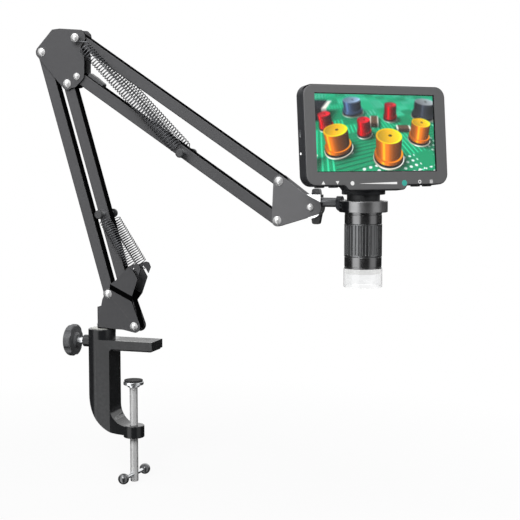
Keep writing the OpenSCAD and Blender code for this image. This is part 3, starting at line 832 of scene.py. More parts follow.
@dataclass(frozen=True)
class Layout:
    """Driving sizes of the arm, and the places worked out from them, as (x, z).

    Attributes:
        post_x: axis of the post.
        arm_len: distance between a tube's two pivots, its foot or root and its head or tip.
        lower_lean: lean of the lower tubes, in radians, and upper_droop of the upper ones.
        tube_y: half a tube's width across the arm, which the other names with y share.
        sheet: thickness of the plates, which lie between plate_in and plate_out.
        ear_seat: place where the lower springs hook on the bracket.
        lower_pin_at: distance of the lower springs' bolt along the front tube.
        upper_pin_at: distance of the upper springs' bolt along the bottom tube.
        ring_low: underside of the ring that grips the barrel, whose axis is at barrel_x.
    """

    post_x: float = -42.0
    arm_len: float = 309.0
    lower_lean: float = math.radians(16.2)
    upper_droop: float = math.radians(33.8)
    tube_y: float = 6.25
    sheet: float = 2.0
    bolt_d: float = 6.0
    cap_d: float = 10.6
    spring_y: float = 14.7
    hook_cap_y: float = 17.2
    spring_nut_y: float = 18.5
    plate_in: float = tube_y + 1
    plate_out: float = plate_in + sheet
    lower_dir: Point = (-math.sin(lower_lean), math.cos(lower_lean))
    upper_dir: Point = (math.cos(upper_droop), -math.sin(upper_droop))
    rear_foot: Point = (post_x + 13, 69.1)
    front_foot: Point = shifted(rear_foot, 34.5, -39)
    rear_head: Point = ahead(rear_foot, lower_dir, arm_len)
    front_head: Point = ahead(front_foot, lower_dir, arm_len)
    top_root: Point = shifted(rear_head, 49.65, 15.7)
    low_root: Point = shifted(top_root, -2, -46)
    top_tip: Point = ahead(top_root, upper_dir, arm_len)
    low_tip: Point = ahead(low_root, upper_dir, arm_len)
    ear_seat: Point = shifted(rear_foot, 37.7, 32.5)
    lower_pin_at: float = 143
    upper_pin_at: float = 168
    tilt_pivot: Point = shifted(top_tip, 38.1, -30)
    barrel_x: float = tilt_pivot[0] + 60.7
    ring_low: float = tilt_pivot[1] - 4.8


ARM = Layout()


def dome_caps(name: str, places: Sequence[tuple[Point, float, float]]) -> Object:
    """Makes the domed caps of some pivots, on both sides of the arm.

    Args:
        name: name of the piece.
        places: pivot, distance across the arm and diameter of each pair.

    Returns:
        The caps as one piece.
    """
    caps = []
    for index, (pivot, y, diameter) in enumerate(places):
        radius, height = diameter / 2, 0.33 * diameter
        dome = (radius**2 + height**2) / (2 * height)
        rim = math.degrees(math.asin((dome - height) / dome))
        crown = arc((0, height - dome), dome - 0.02, rim + 9, 90, 10)
        profile = [(0, 0.05), (radius - 0.5, 0.05), (radius - 0.05, 0.35), (radius - 0.1, 0.62), *crown]
        middle = (pivot[0], 0, pivot[1])
        caps += turned_pair(f"{name}_{index}", profile, middle, Y_AXIS, y, 40, 50)
    return join(name, *caps)


def plate_pair(name: str, outline: Sequence[Point], pivots: Sequence[Point], edge: float) -> Object:
    """Makes the plates on both sides of the arm.

    Args:
        name: name of the piece.
        outline: outline of a plate.
        pivots: places of its bores.
        edge: rounding of its edges.

    Returns:
        Both plates as one piece.
    """
    plate = slab(name, outline, -ARM.plate_out, -ARM.plate_in)
    bores = [y_rod("bore", pivot, -20, 20, ARM.bolt_d / 2 + 0.02) for pivot in pivots]
    ease(combine(plate, join("bores", *bores)), edge, 3, 40)
    return modify(plate, "MIRROR", use_axis=(False, True, False), use_mirror_merge=False)


@dataclass
class ArmTube:
    """One tube of the arm.

    Attributes:
        name: name of the piece.
        start: its first pivot.
        stop: its last pivot.
        height: height of the tube's section.
        wall: thickness of its wall.
        edge: rounding of its long edges.
        pin_at: distance of a spring's bolt from the first pivot, or 0 for none.
    """

    name: str
    start: Point
    stop: Point
    height: float = 14.5
    wall: float = 1.2
    edge: float = 1.3
    pin_at: float = 0.0

    def build(self) -> Object:
        """Models the tube: round ends, open inside, with a bore and a sleeve at each pivot."""
        reach = math.dist(self.start, self.stop)
        half = self.height / 2
        outline = arc((0, 0), half, 270, 90, 16) + arc((reach, 0), half, 90, -90, 16)
        tube = ease(slab(self.name, outline, -ARM.tube_y, ARM.tube_y), self.edge, 3, 40)
        inner = ARM.tube_y - self.wall
        hollow = block("hollow", (-20, -inner, self.wall - half), (reach + 20, inner, half - self.wall))
        combine(tube, hollow)
        sleeves = [y_rod("sleeve", (x, 0), -inner - 0.2, inner + 0.2, 4.5) for x in (0, reach)]
        combine(tube, *sleeves, operation="UNION")
        bores = [y_rod("bore", (x, 0), -20, 20, ARM.bolt_d / 2 + 0.05) for x in (0, reach)]
        if self.pin_at:
            bores.append(y_rod("bore", (self.pin_at, 0), -20, 20, 2.6))
        combine(tube, *bores)
        smooth(tube, 40)
        return place(tube, along(self.start, self.stop))


@dataclass
class SpringPair:
    """Two balancing springs, one on each side of a tube.

    Attributes:
        name: name of the piece.
        start: place that the springs' first ends hook on.
        stop: bolt that their last ends hook on.
        lead: straight wire before the coil.
        tail: straight wire after the coil.
        hooked_plate: whether the first ends hook through a plate instead of round a bolt.
        coil: outer diameter of the coil.
        wire: diameter of the wire.
        pitch: distance between turns.
        samples: points along each turn.
    """

    name: str
    start: Point
    stop: Point
    lead: float
    tail: float
    hooked_plate: bool = False
    coil: float = 16.0
    wire: float = 1.25
    pitch: float = 3.8
    samples: int = 22

    def path(self, side: int) -> np.ndarray:
        """Returns the middle line of one spring, hooks included."""
        reach = math.dist(self.start, self.stop)
        axis = np.array([self.stop[0] - self.start[0], 0, self.stop[1] - self.start[1]]) / reach
        across = np.array([0.0, 1.0, 0.0])
        up = np.cross(axis, across)
        begin = np.array([self.start[0], side * ARM.spring_y, self.start[1]])
        radius = (self.coil - self.wire) / 2
        turns = round((reach - self.lead - self.tail - self.wire) / self.pitch)
        length = reach - self.lead - self.tail - self.wire
        steps = np.arange(turns * self.samples + 1) / self.samples
        angle = math.tau * steps
        coil = (
            begin
            + np.outer(self.lead + self.wire / 2 + length * steps / turns, axis)
            + radius * (np.outer(np.cos(angle), up) + np.outer(np.sin(angle), across))
        )
        first = self.hook(begin, axis, across if self.hooked_plate else up, 2.6 if self.hooked_plate else 4)
        last = self.hook(begin + axis * reach, -axis, up, 3.6)[::-1]
        path = np.vstack([self.reach_to(first, coil[0]), coil, self.reach_to(last[::-1], coil[-1])[::-1]])
        kernel = np.ones(3) / 3
        core = np.stack([np.convolve(path[:, i], kernel, "valid") for i in range(3)], axis=1)
        return np.vstack([path[:1], core, path[-1:]])

    @staticmethod
    def hook(middle: np.ndarray, axis: np.ndarray, up: np.ndarray, radius: float) -> np.ndarray:
        """Returns an open loop about middle that starts behind it and ends towards the coil."""
        turn = np.radians(np.linspace(-40, 270, 22))
        loop = np.outer(np.cos(turn), axis) + np.outer(np.sin(turn), up)
        return middle + radius * loop

    @staticmethod
    def reach_to(hook: np.ndarray, target: np.ndarray) -> np.ndarray:
        """Adds the straight wire between a hook and the coil."""
        share = np.linspace(0, 1, 9)[1:-1, None]
        ease_in = share * share * (3 - 2 * share)
        return np.vstack([hook, hook[-1] + (target - hook[-1]) * ease_in])

    def build(self) -> Object:
        """Winds both springs."""
        springs = [wire(f"{self.name}_{side}", self.path(side), self.wire / 2) for side in (-1, 1)]
        return join(self.name, *springs)


def spring_nuts(name: str, pin: Point) -> Object:
    """Makes the round cap nuts on both ends of a spring bolt."""
    profile = rounded([(0, 4.2, 0), (2.7, 4.2, 0), (2.7, 0, 0), (5.5, 0, 0.5), (5.5, 3.4, 0.4),
                       (4.4, 5, 1.2), (0, 5, 0)])
    return join(name, *turned_pair(name, profile, (pin[0], 0, pin[1]), Y_AXIS, ARM.spring_nut_y))


# ---------- table clamp ----------


@dataclass
class TableClamp:
    """The cast frame, its screw, and the knob that locks the post."""

    post_d: float = 34.0
    post_top: float = 24.7
    bar_reach: float = 32.0
    bar_top: float = 12.4
    pad: float = 1.8
    boss_d: float = 26.0
    boss_low: float = -110.0
    jaw_top: float = -95.0
    screw_d: float = 10.0
    screw_low: float = -166.0
    disc_top: float = -40.0
    lock_z: float = 8.0
    knob_d: float = 40.0
    knob_t: float = 18.0
    tommy_len: float = 53.0
    tommy_turn: float = 84.0
    ball_d: float = 13.6
    thread_pitch: float = 2.0
    bar_hole: float = 9.0

    def build(self) -> None:
        """Models and dresses the clamp."""
        finish_piece(self.casting(), Look.CASTING, "clamp", "casting", "clamp_frame")
        finish_piece(self.screw(), Look.SCREW, "clamp_spindle", "plated", "clamp_screw")
        finish_piece(self.tommy_bar(), Look.ZINC, "clamp_spindle", "plated", "tommy_bar")
        finish_piece(self.balls(), Look.BALL, "clamp_spindle", "ball", "tommy_balls")
        finish_piece(self.disc(), Look.ZINC, "clamp_foot", "plated", "pressure_disc")
        finish_piece(self.knob(), Look.LOCK_KNOB, "lock", "knob", "lock_knob")
        dress_nodes(Look.RUBBER, "clamp_top_pad", "disc_pad")
        dress_nodes(Look.NYLON, "post_bushing")
        dress_nodes(Look.ZINC, "lock_screw")

    def casting(self) -> Object:
        """Models the C frame with its bar, post and bosses."""
        half, spine_in = self.post_d / 2, ARM.post_x + self.post_d / 2
        back = [(-13 + 46 * math.cos(a), -40 + 65 * math.sin(a)) for a in np.radians(range(180, 265, 7))]
        throat = arc((-1, -72), 24, 264, 180, 10)
        side = [(ARM.post_x - half, self.bar_top), *back, (0, -107.5), (0, self.jaw_top - 1),
                *throat, (spine_in, self.bar_top)]
        body = slab("cast_frame", side, -half, half)
        plan = [*arc((ARM.post_x, 0), half, 90, 270, 32), (spine_in, -half), (0, -10), (0, 10),
                (spine_in, half)]
        trim = prism("plan", [(x, y, self.boss_low) for x, y in plan], (0, 0, self.bar_top - self.boss_low))
        combine(body, trim, operation="INTERSECT")
        bar = slab("bar", [(ARM.post_x, self.bar_top), (ARM.post_x, self.pad - 3), (spine_in, self.pad - 3),
                           (spine_in + 3, self.pad), (self.bar_reach, self.pad),
                           (self.bar_reach, self.bar_top)], -half, half)
        post = turned("post", rod_profile(half, self.bar_top - 5, self.post_top, 1.1), (ARM.post_x, 0, 0))
        boss = turned("boss", rod_profile(self.boss_d / 2, self.boss_low, self.jaw_top, 1.1))
        lock = x_rod("lock_boss", ARM.post_x - half - 7.5, ARM.post_x, self.lock_z, 7.5, 0.9)
        combine(body, bar, post, boss, lock, operation="UNION")
        ease(body, 0.7, 3, 34)
        bush = turned("bush_bore", rod_profile(8.05, -14, 60, 0), (ARM.post_x, 0, 0), steps=48)
        thread = turned("screw_bore", rod_profile(self.screw_d / 2 + 0.05, -120, -80, 0), steps=48)
        hole = x_rod("lock_bore", ARM.post_x - 40, ARM.post_x, self.lock_z, 4.05)
        return smooth(combine(body, bush, thread, hole), 34)

    def screw(self) -> Object:
        """Models the screw: a rolled thread between two plain ends."""
        radius, depth = self.screw_d / 2, 0.2
        low, high = self.screw_low + 17, self.disc_top - 8.5
        turns = int((high - low) / self.thread_pitch)
        profile = [(radius - depth, 0), (radius - 0.04, 0.2), (radius, 0.26), (radius, 0.74),
                   (radius - 0.04, 0.8), (radius - depth, 1)]
        corners = [(r, 0, low + h * self.thread_pitch) for r, h in profile]
        thread = ring_of_points("screw_thread", corners, filled=False)
        with edit(thread):
            select_edges(thread, lambda a, b: abs(a.z - b.z) > self.thread_pitch * 0.9)
            bpy.ops.mesh.delete(type="EDGE_FACE")
        modify(thread, "SCREW", angle=math.tau, screw_offset=self.thread_pitch * MM, iterations=turns,
               steps=32, render_steps=32, use_merge_vertices=True, merge_threshold=0.001 * MM)
        with edit(thread, "SELECT"):
            bpy.ops.mesh.region_to_loop()
            bpy.ops.mesh.edge_face_add()
        outward(thread)
        core = turned("core", rod_profile(radius - depth - 0.02, low - 1, high + 1, 0), steps=32)
        tip = turned("tip", rod_profile(radius, self.screw_low, low + 0.8, 0.9), steps=48)
        neck_low = high - 0.8
        neck = turned("neck", rounded([(0, neck_low, 0), (radius, neck_low, 0), (radius, -47.3, 0.5),
                                       (4, -47.3, 0), (4, -42.4, 0.4), (0, -42.4, 0)]), steps=48)
        hole = turned("bar_hole", rod_profile(2.55, -20, 20, 0), (0, 0, self.screw_low + self.bar_hole),
                      self.tommy_axis(), steps=32)
        combine(tip, hole)
        return smooth(join("leadscrew", tip, core, neck, thread), 32)

    def tommy_axis(self) -> Vector:
        """Returns the direction of the tommy bar."""
        turn = math.radians(self.tommy_turn)
        return Vector((math.cos(turn), math.sin(turn), 0))

    def tommy_bar(self) -> Object:
        """Models the bar across the screw's lower end."""
        half = self.tommy_len / 2 - 2
        profile = rod_profile(2.5, -half, half, 0.4)
        middle = (0, 0, self.screw_low + self.bar_hole)
        return turned("sliding_bar", profile, middle, self.tommy_axis(), 40)

    def balls(self) -> Object:
        """Models the two pressed-on balls, each with a short collar."""
        radius = self.ball_d / 2
        collar = 3.4
        start = math.degrees(math.asin(collar / radius))
        profile = [(0, 2.2), (2.55, 2.2), (2.55, -radius + 0.2), (collar - 0.5, -radius + 0.2),
                   *arc((0, 0), radius - 0.02, -90 + start, 90, 26)]
        middle = (0, 0, self.screw_low + self.bar_hole)
        balls = turned_pair("ball", profile, middle, self.tommy_axis(), self.tommy_len / 2, 56, 50)
        return join("bar_balls", *balls)

    def disc(self) -> Object:
        """Models the pressure disc with its hub."""
        low, top = self.disc_top - 4, self.disc_top
        profile = rounded([(0, top - 2, 0), (4.05, top - 2, 0), (4.05, low - 3, 0), (7.5, low - 3, 0.7),
                           (7.5, low, 0.6), (12.5, low, 0.7), (12.5, top, 0.5), (0, top, 0)])
        return turned("swivel_disc", profile)

    def knob(self) -> Object:
        """Models the lobed lock knob."""
        low = ARM.post_x - 51
        radius = self.knob_d / 2
        rim = self.knob_t - 2.8
        corners = [(0, 0, 0), (8, 0.5, 9), (radius, 6.5, 5), (radius, rim, 2), (10, rim + 0.8, 3),
                   (7.4, self.knob_t, 0.8), (4, self.knob_t, 0), (4, 8, 0), (0, 8, 0)]
        knob = turned("star_knob", rounded(corners, 8), (low, 0, self.lock_z), X_AXIS, 96)
        cutters = []
        for lobe in range(6):
            turn = math.radians(30 + 60 * lobe)
            across = Vector((0, math.cos(turn), math.sin(turn))) * (radius + 5.6)
            middle = across + Vector((low, 0, self.lock_z))
            cutters.append(turned("scallop", rod_profile(8, -2, 24, 0), middle, X_AXIS, 40))
        combine(knob, *cutters)
        return ease(knob, 0.9, 3, 40)


# ---------- bracket on the post ----------


@dataclass
class PostBracket:
    """The folded sheet that turns on the post, with its shaft, bolts and caps."""

    low: float = 25.4
    back: float = 2.3
    web_h: float = 27.0
    web_reach: float = 36.0
    bend: float = 1.9
    foot_r: float = 6.4
    rise: float = 8.0
    ear_gap: float = 13.7
    slot: float = 3.6
    tuck: float = 0.03

    def build(self) -> None:
        """Models and dresses the bracket."""
        sheet = finish_piece(self.sheet(), Look.PLATE, "swivel", "plate", "base_bracket")
        # Painted shade: the sheet's sides, edges and sloping strips take the near-black coat.
        two_tone(sheet, Look.EDGE_COAT,
                 lambda centre, normal: abs(normal.y) < 0.97 and normal.x > -0.5 and normal.z > -0.9)
        pivots = [(ARM.rear_foot, ARM.plate_out, ARM.cap_d), (ARM.front_foot, ARM.plate_out, ARM.cap_d)]
        finish_piece(dome_caps("foot_caps", pivots), Look.CAP, "swivel", "cap", "base_caps")
        dress_nodes(Look.ZINC, "swivel_shaft", "base_pivot_bolts")
        dress_nodes(Look.NYLON, "base_washers")

    @property
    def fold(self) -> tuple[Point, Point]:
        """Ends of the lower bend of the sloping strip."""
        lean = math.radians(70)
        start = shifted(ARM.rear_foot, self.foot_r * math.cos(lean), self.foot_r * math.sin(lean))
        return start, shifted(ARM.rear_foot, 31.5, -8)

    def plate_outline(self) -> list[Point]:
        """Returns the outline of the side plates below the strip."""
        left = ARM.post_x - self.back
        return [(left, self.low), (left, self.low + self.web_h), (left + 5.6, self.low + self.web_h + 1),
                (left + 7.4, 62), *arc(ARM.rear_foot, self.foot_r, 205, 70, 14), self.fold[1],
                *arc(ARM.front_foot, 8, 22, -80, 16), (ARM.post_x + 33, self.low)]

    def sheet(self) -> Object:
        """Models the sheet: two side plates, two webs, and a stepped ear on each side."""
        left = ARM.post_x - self.back
        plates = slab("folded_bracket", self.plate_outline(), -ARM.plate_out, ARM.plate_out)
        bevel_edges(plates, lambda a, b: abs(a.y - b.y) < 0.01 and self.on_bend(a) and self.on_bend(b),
                    self.bend, 5)
        inside, reach = self.low + ARM.sheet, ARM.post_x + self.web_reach
        hollow = [(left + ARM.sheet, inside), (reach, inside), (reach, self.low - 20), (200, self.low - 20),
                  (200, 200), (left - 20, 200), (left - 20, self.low + self.web_h),
                  (left + ARM.sheet, self.low + self.web_h)]
        combine(plates, slab("hollow", hollow, -ARM.plate_in, ARM.plate_in))
        combine(plates, *self.ears(), operation="UNION")
        holes = [y_rod("bore", p, -30, 30, ARM.bolt_d / 2 + 0.02) for p in (ARM.rear_foot, ARM.front_foot)]
        holes.append(turned("shaft_bore", rod_profile(6.02, 0, 40, 0), (ARM.post_x, 0, 0), steps=48))
        combine(plates, *holes)
        return ease(plates, 0.32, 2, 40)

    def on_bend(self, point: Vector) -> bool:
        """Says whether a corner of the sheet lies where a side plate bends into a web."""
        left = ARM.post_x - self.back
        return abs(point.x - left) < 0.01 or abs(point.z - self.low) < 0.01

    def ears(self) -> list[Object]:
        """Models the sloping strips and the slotted ears above them."""
        start, stop = self.fold
        reach = math.dist(start, stop)
        step = self.ear_gap - ARM.plate_in
        near, far = ARM.plate_in + self.tuck, ARM.plate_out - self.tuck
        section = [(near, -1), (far, -1), (far, -0.3), (far + step, self.rise + 0.3),
                   (far + step, self.rise + 1), (near + step, self.rise + 1),
                   (near + step, self.rise + 0.3), (near, -0.3)]
        pieces = []
        for side in (-1, 1):
            points = [(self.tuck, side * y, z) for y, z in section]
            strip = prism("strip", points, (reach - 2 * self.tuck, 0, 0))
            pieces.append(place(strip, along(start, stop)))
            near, far = sorted((side * self.ear_gap, side * (self.ear_gap + ARM.sheet)))
            pieces.append(slab("ear", self.ear_outline(), near, far))
            combine(pieces[-1], slab("slot", self.slot_outline(), -30, 30))
        return pieces

    def ear_outline(self) -> list[Point]:
        """Returns the outline of an ear, with its corners rounded."""
        start, stop = self.fold
        lean = math.atan2(stop[1] - start[1], stop[0] - start[0])
        up = (-math.sin(lean), math.cos(lean))
        left = shifted(start, up[0] * self.rise, up[1] * self.rise)
        right = shifted(stop, up[0] * self.rise, up[1] * self.rise)
        offsets = [(13.3, 17.6, 3), (27.6, 31.9, 6), (31.3, 36.1, 4), (40.8, 39.3, 3), (44.6, 38.2, 2),
                   (47, 32.5, 2), (43.4, 23.7, 2), (42.4, 19.9, 2)]
        corners = [(*shifted(ARM.rear_foot, dx, dz), r) for dx, dz, r in offsets]
        return rounded([(*left, 0), *corners, (*right, 0)], 4)

    def slot_outline(self) -> list[Point]:
        """Returns the outline of the slot that holds a spring's end."""
        seat, mouth = ARM.ear_seat, shifted(ARM.rear_foot, 43.7, 22.1)
        reach = math.dist(seat, mouth) + 6
        lean = math.atan2(mouth[1] - seat[1], mouth[0] - seat[0])
        flat = [*arc((0, 0), self.slot / 2, 90, 270, 10), (reach, -self.slot / 2), (reach, self.slot / 2)]
        return [(seat[0] + x * math.cos(lean) - z * math.sin(lean),
                 seat[1] + x * math.sin(lean) + z * math.cos(lean)) for x, z in flat]


# ---------- lower arm, elbow and upper arm ----------


def spring_blend(
    obj: Object, node: str
) -> None:
    """Finishes a pair of springs that stretches between two bodies.

    Args:
        obj: finished springs.
        node: node of the frame that they replace.
    """
    finish_piece(obj, Look.SPRING, "", "spring", node)
    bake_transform(obj)


@dataclass
class LowerArm:
    """The two lower tubes with their pair of springs."""

    def build(self) -> None:
        """Models and dresses the lower arm."""
        # The tubes' sides take painted shade.
        rear = ArmTube("rear_tube", ARM.rear_foot, ARM.rear_head).build()
        paint_side_shade(finish_piece(rear, Look.TUBE, "lower_rear", "tube", "lower_rear_tube"))
        front = ArmTube("front_tube", ARM.front_foot, ARM.front_head, pin_at=ARM.lower_pin_at).build()
        paint_side_shade(finish_piece(front, Look.TUBE, "lower_front", "tube", "lower_front_tube"))
        seat, pin = ARM.ear_seat, ahead(ARM.front_foot, ARM.lower_dir, ARM.lower_pin_at)
        springs = SpringPair("lower_coils", seat, pin, 5.5, 8, hooked_plate=True,
                             coil=15, wire=1.05, pitch=2.9).build()
        spring_blend(springs, "lower_springs")
        finish_piece(spring_nuts("lower_nuts", pin), Look.KNOB, "lower_front", "knob", "lower_spring_nuts")
        dress_nodes(Look.ZINC, "lower_spring_bolt")


@dataclass
class Elbow:
    """The two plates between the arms, with their bolts and caps."""

    def build(self) -> None:
        """Models and dresses the elbow."""
        # The elbow plates' sides take painted shade.
        paint_side_shade(finish_piece(self.plates(), Look.UPPER_TUBE, "elbow", "plate", "elbow_plates"))
        caps = dome_caps("elbow_domes", [
            (ARM.rear_head, ARM.plate_out, ARM.cap_d),
            (ARM.front_head, ARM.plate_out, ARM.cap_d),
            (ARM.low_root, ARM.plate_out, 8.4),
            (ARM.top_root, ARM.hook_cap_y, ARM.cap_d),
        ])
        finish_piece(caps, Look.CAP, "elbow", "cap", "elbow_caps")
        dress_nodes(Look.ZINC, "elbow_pivot_bolts")
        dress_nodes(Look.NYLON, "elbow_washers")

    def plates(self) -> Object:
        """Models the plates with their cut corners."""
        offsets = [(14.85, 27.1, 3), (24.85, 28.1, 8), (54.45, 25.7, 3), (58.85, 21.3, 2), (60.05, 14, 2),
                   (53.25, 5.2, 1.5), (58.15, -3.9, 2), (57.85, -25.7, 4), (56.75, -32.9, 4),
                   (45.75, -43.6, 3)]
        corners = [(*shifted(ARM.rear_head, dx, dz), r) for dx, dz, r in offsets]
        outline = [*arc(ARM.rear_head, 7.8, 230, 135), *rounded_run(corners),
                   *arc(ARM.front_head, 7.6, -45, -130)]
        pivots = (ARM.rear_head, ARM.front_head, ARM.top_root, ARM.low_root)
        return plate_pair("elbow_pair", outline, pivots, 0.35)


@dataclass
class UpperArm:
    """The two upper tubes with their pair of springs and the rubber bumper."""

    def build(self) -> None:
        """Models and dresses the upper arm."""
        # The tubes' sides take painted shade.
        top = ArmTube("top_tube", ARM.top_root, ARM.top_tip).build()
        paint_side_shade(finish_piece(top, Look.UPPER_TUBE, "upper_top", "tube", "upper_top_tube"))
        bottom = ArmTube("bottom_tube", ARM.low_root, ARM.low_tip, pin_at=ARM.upper_pin_at).build()
        paint_side_shade(finish_piece(bottom, Look.UPPER_TUBE, "upper_bottom", "tube", "upper_bottom_tube"))
        pin = ahead(ARM.low_root, ARM.upper_dir, ARM.upper_pin_at)
        springs = SpringPair("upper_coils", ARM.top_root, pin, 15, 9).build()
        spring_blend(springs, "upper_springs")
        finish_piece(spring_nuts("upper_nuts", pin), Look.KNOB, "upper_bottom", "knob", "upper_spring_nuts")
        finish_piece(self.bumper(), Look.KNOB, "upper_bottom", "rubber", "elbow_bumper")
        dress_nodes(Look.ZINC, "upper_spring_bolt")

    def bumper(self) -> Object:
        """Models the bumper that the folded arm rests on."""
        outline = rounded([(0, 0, 0), (24.5, 0, 0), (23.5, 3.4, 2), (10, 4.5, 4), (0, 4.5, 1)])
        pad = ease(slab("rubber_bumper", [(10 + x, 7.25 + z) for x, z in outline], -5, 5), 0.9, 4, 40)
        return place(pad, along(ARM.low_root, ahead(ARM.low_root, ARM.upper_dir, 100)))


# ---------- head mount ----------


@dataclass
class HeadMount:
    """The end plates, the swivel block with its wing knob, the rod and the ring.

    The rod's axis lies at rod_z, the block's front at face, and the ring's knuckle at lug.
    """

    eye_d: float = 25.5
    rod_d: float = 11.0
    ring_d: float = 56.0
    ring_h: float = 13.2
    tip_cap_d: float = 8.4
    barrel_d: float = 43.0
    rod_z: float = ARM.tilt_pivot[1] + 5.8
    face: float = ARM.tilt_pivot[0] + 11.4
    lug: Point = (ARM.barrel_x - 24.3, ARM.ring_low + 7.2)

    def build(self) -> None:
        """Models and dresses the head mount."""
        finish_piece(self.plates(), Look.END_PLATE, "end", "plate", "end_bracket")
        caps = dome_caps("tip_domes", [(ARM.top_tip, ARM.plate_out, ARM.cap_d),
                                       (ARM.low_tip, ARM.plate_out, ARM.cap_d)])
        finish_piece(caps, Look.CAP, "end", "cap", "end_caps")
        finish_piece(self.pinch_bolt(), Look.CAP, "end", "cap", "tilt_bolt")
        finish_piece(self.swivel(), Look.CHROME, "tilt", "block", "swivel_block")
        finish_piece(self.wings(), Look.KNOB, "wing", "knob", "wing_knob")
        rod = x_rod("round_rod", ARM.tilt_pivot[0] + 4.8, self.lug[0] - 4, self.rod_z, self.rod_d / 2, 0.5)
        finish_piece(rod, Look.ROD, "roll", "rod", "mount_rod")
        ring = finish_piece(self.ring(), Look.RING, "roll", "barrel", "ring_clamp")
        # The ring's left side takes the black finish: dark on the knuckle, and beyond it painted shade for
        # the ring's shaded side.
        two_tone(ring, Look.BLACK_SCREW, lambda centre, normal: centre.x < ARM.barrel_x - 11)
        finish_piece(self.socket_screw(), Look.BLACK_SCREW, "roll", "screw", "ring_screw")
        dress_nodes(Look.ZINC, "end_pivot_bolts")
        dress_nodes(Look.NYLON, "end_washers")

    def plates(self) -> Object:
        """Models the two end plates."""
        tip = ARM.tilt_pivot
        outline = [*arc(ARM.top_tip, 7, 185, 45), shifted(ARM.top_tip, 31.6, -14.8),
                   *arc(tip, 13, 28, -36, 16), *arc(ARM.low_tip, 7, -74, -190)]
        return plate_pair("end_pair", outline, (ARM.top_tip, ARM.low_tip, tip), 0.4)

    def pinch_bolt(self) -> Object:
        """Models the pinch bolt: a domed head on the near side and a plain shank."""
        radius, height = self.tip_cap_d / 2, 0.4 * self.tip_cap_d
        crown = arc((0, 0), 1, 12, 90, 9)
        head = [(radius * x, height * (0.2 + 0.8 * z) if z > 0.21 else 0.3) for x, z in crown]
        shank = [(0, -34.2, 0), (3, -34.2, 0.6), (3, 0, 0)]
        profile = [*rounded(shank)[:-1], (3, 0.02), (radius - 0.2, 0.02), (radius, 0.25), *head]
        centre = (ARM.tilt_pivot[0], -ARM.plate_out, ARM.tilt_pivot[1])
        return turned("pinch_bolt_head", profile, centre, -Y_AXIS, 48, 40)

    def swivel(self) -> Object:
        """Models the chrome block: a round eye that runs into a squared head."""
        half, (x, z) = ARM.plate_in - 0.1, ARM.tilt_pivot
        top = z + 14.6
        eye = turned("chrome_block", rod_profile(self.eye_d / 2, -half, half, 0), (x, 0, z), Y_AXIS, 64)
        combine(eye, block("head", (x - 8, -half, z), (self.face, half, top)), operation="UNION")
        bolt = y_rod("bore", ARM.tilt_pivot, -20, 20, 3.05)
        socket = x_rod("socket", x + 4.4, self.face + 10, self.rod_z, self.rod_d / 2 + 0.05)
        return ease(combine(eye, bolt, socket), 0.7, 3, 34)

    def wings(self) -> Object:
        """Models the wing knob: a round hub with two tapering wings."""
        x, z = ARM.tilt_pivot
        hub = ARM.plate_out + 0.3
        knob = turned("wing_pair", rod_profile(7.5, hub, hub + 14, 1.2), (x, 0, z), Y_AXIS, 48)
        upper = [(-5.5, 13, 3), (-4.5, 20, 1.4), (-2, 21, 1), (3.5, 21, 1.4), (4.5, 19, 2), (7, 6, 3)]
        lower = [(7, -6, 3), (4.5, -19, 2), (3.5, -21, 1.4), (-2, -21, 1), (-4.5, -20, 1.4), (-5.5, -13, 3)]
        outline = rounded([(x + dx, z + dz, r) for dx, dz, r in ((-7, 0, 0), *upper, *lower)], 4)
        combine(knob, slab("blades", outline, hub + 5, hub + 13.5), operation="UNION")
        combine(knob, y_rod("bore", ARM.tilt_pivot, 0, 25.2, 3.05))
        return ease(knob, 0.8, 3, 40)

    def ring(self) -> Object:
        """Models the split ring with its knuckle."""
        low, high = ARM.ring_low, ARM.ring_low + self.ring_h
        inner, outer = self.barrel_d / 2 + 0.05, self.ring_d / 2
        lx, lz = self.lug
        ring = turned("split_ring", rod_profile(outer, low, high, 1.0), (ARM.barrel_x, 0, 0), steps=128)
        knuckle = turned("knuckle", rod_profile(6.7, -9, 9, 0.7), (lx, 0, lz), Y_AXIS, 56)
        bridge = ease(block("bridge", (lx, -9, lz - 6.7), (lx + 12, 9, high)), 0.6, 3, 40)
        spigot = x_rod("spigot", lx - 7, lx, self.rod_z, self.rod_d / 2 + 2, 0.5)
        combine(ring, knuckle, bridge, spigot, operation="UNION")
        bore = turned("bore", rod_profile(inner, low - 5, high + 5, 0), (ARM.barrel_x, 0, 0), steps=128)
        rod_bore = x_rod("rod_bore", lx - 20, lx - 4, self.rod_z, self.rod_d / 2 + 0.02)
        screw = y_rod("screw_bore", self.lug, -20, 20, 2.02)
        sink = y_rod("screw_sink", self.lug, -20, -6, 3.6)
        slit = block("slit", (lx - 2, 2, 100), (lx + 28, 3.2, 200))
        combine(ring, bore, rod_bore, screw, sink, slit)
        return ease(ring, 0.22, 2, 40)

    def socket_screw(self) -> Object:
        """Models the socket-head screw of the ring."""
        lx, lz = self.lug
        profile = [(0, -9, 0), (2, -9, 0.3), (2, 6, 0), (3.5, 6, 0), (3.5, 9.5, 0.5), (0, 9.5, 0)]
        screw = turned("ring_screw_head", rounded(profile), (lx, 0, lz), -Y_AXIS, 40)
        key = turned("key", rod_profile(1.75, 7.3, 12, 0), (lx, 0, lz), -Y_AXIS, 6)
        return smooth(combine(screw, key), 34)


# ---------- microscope ----------


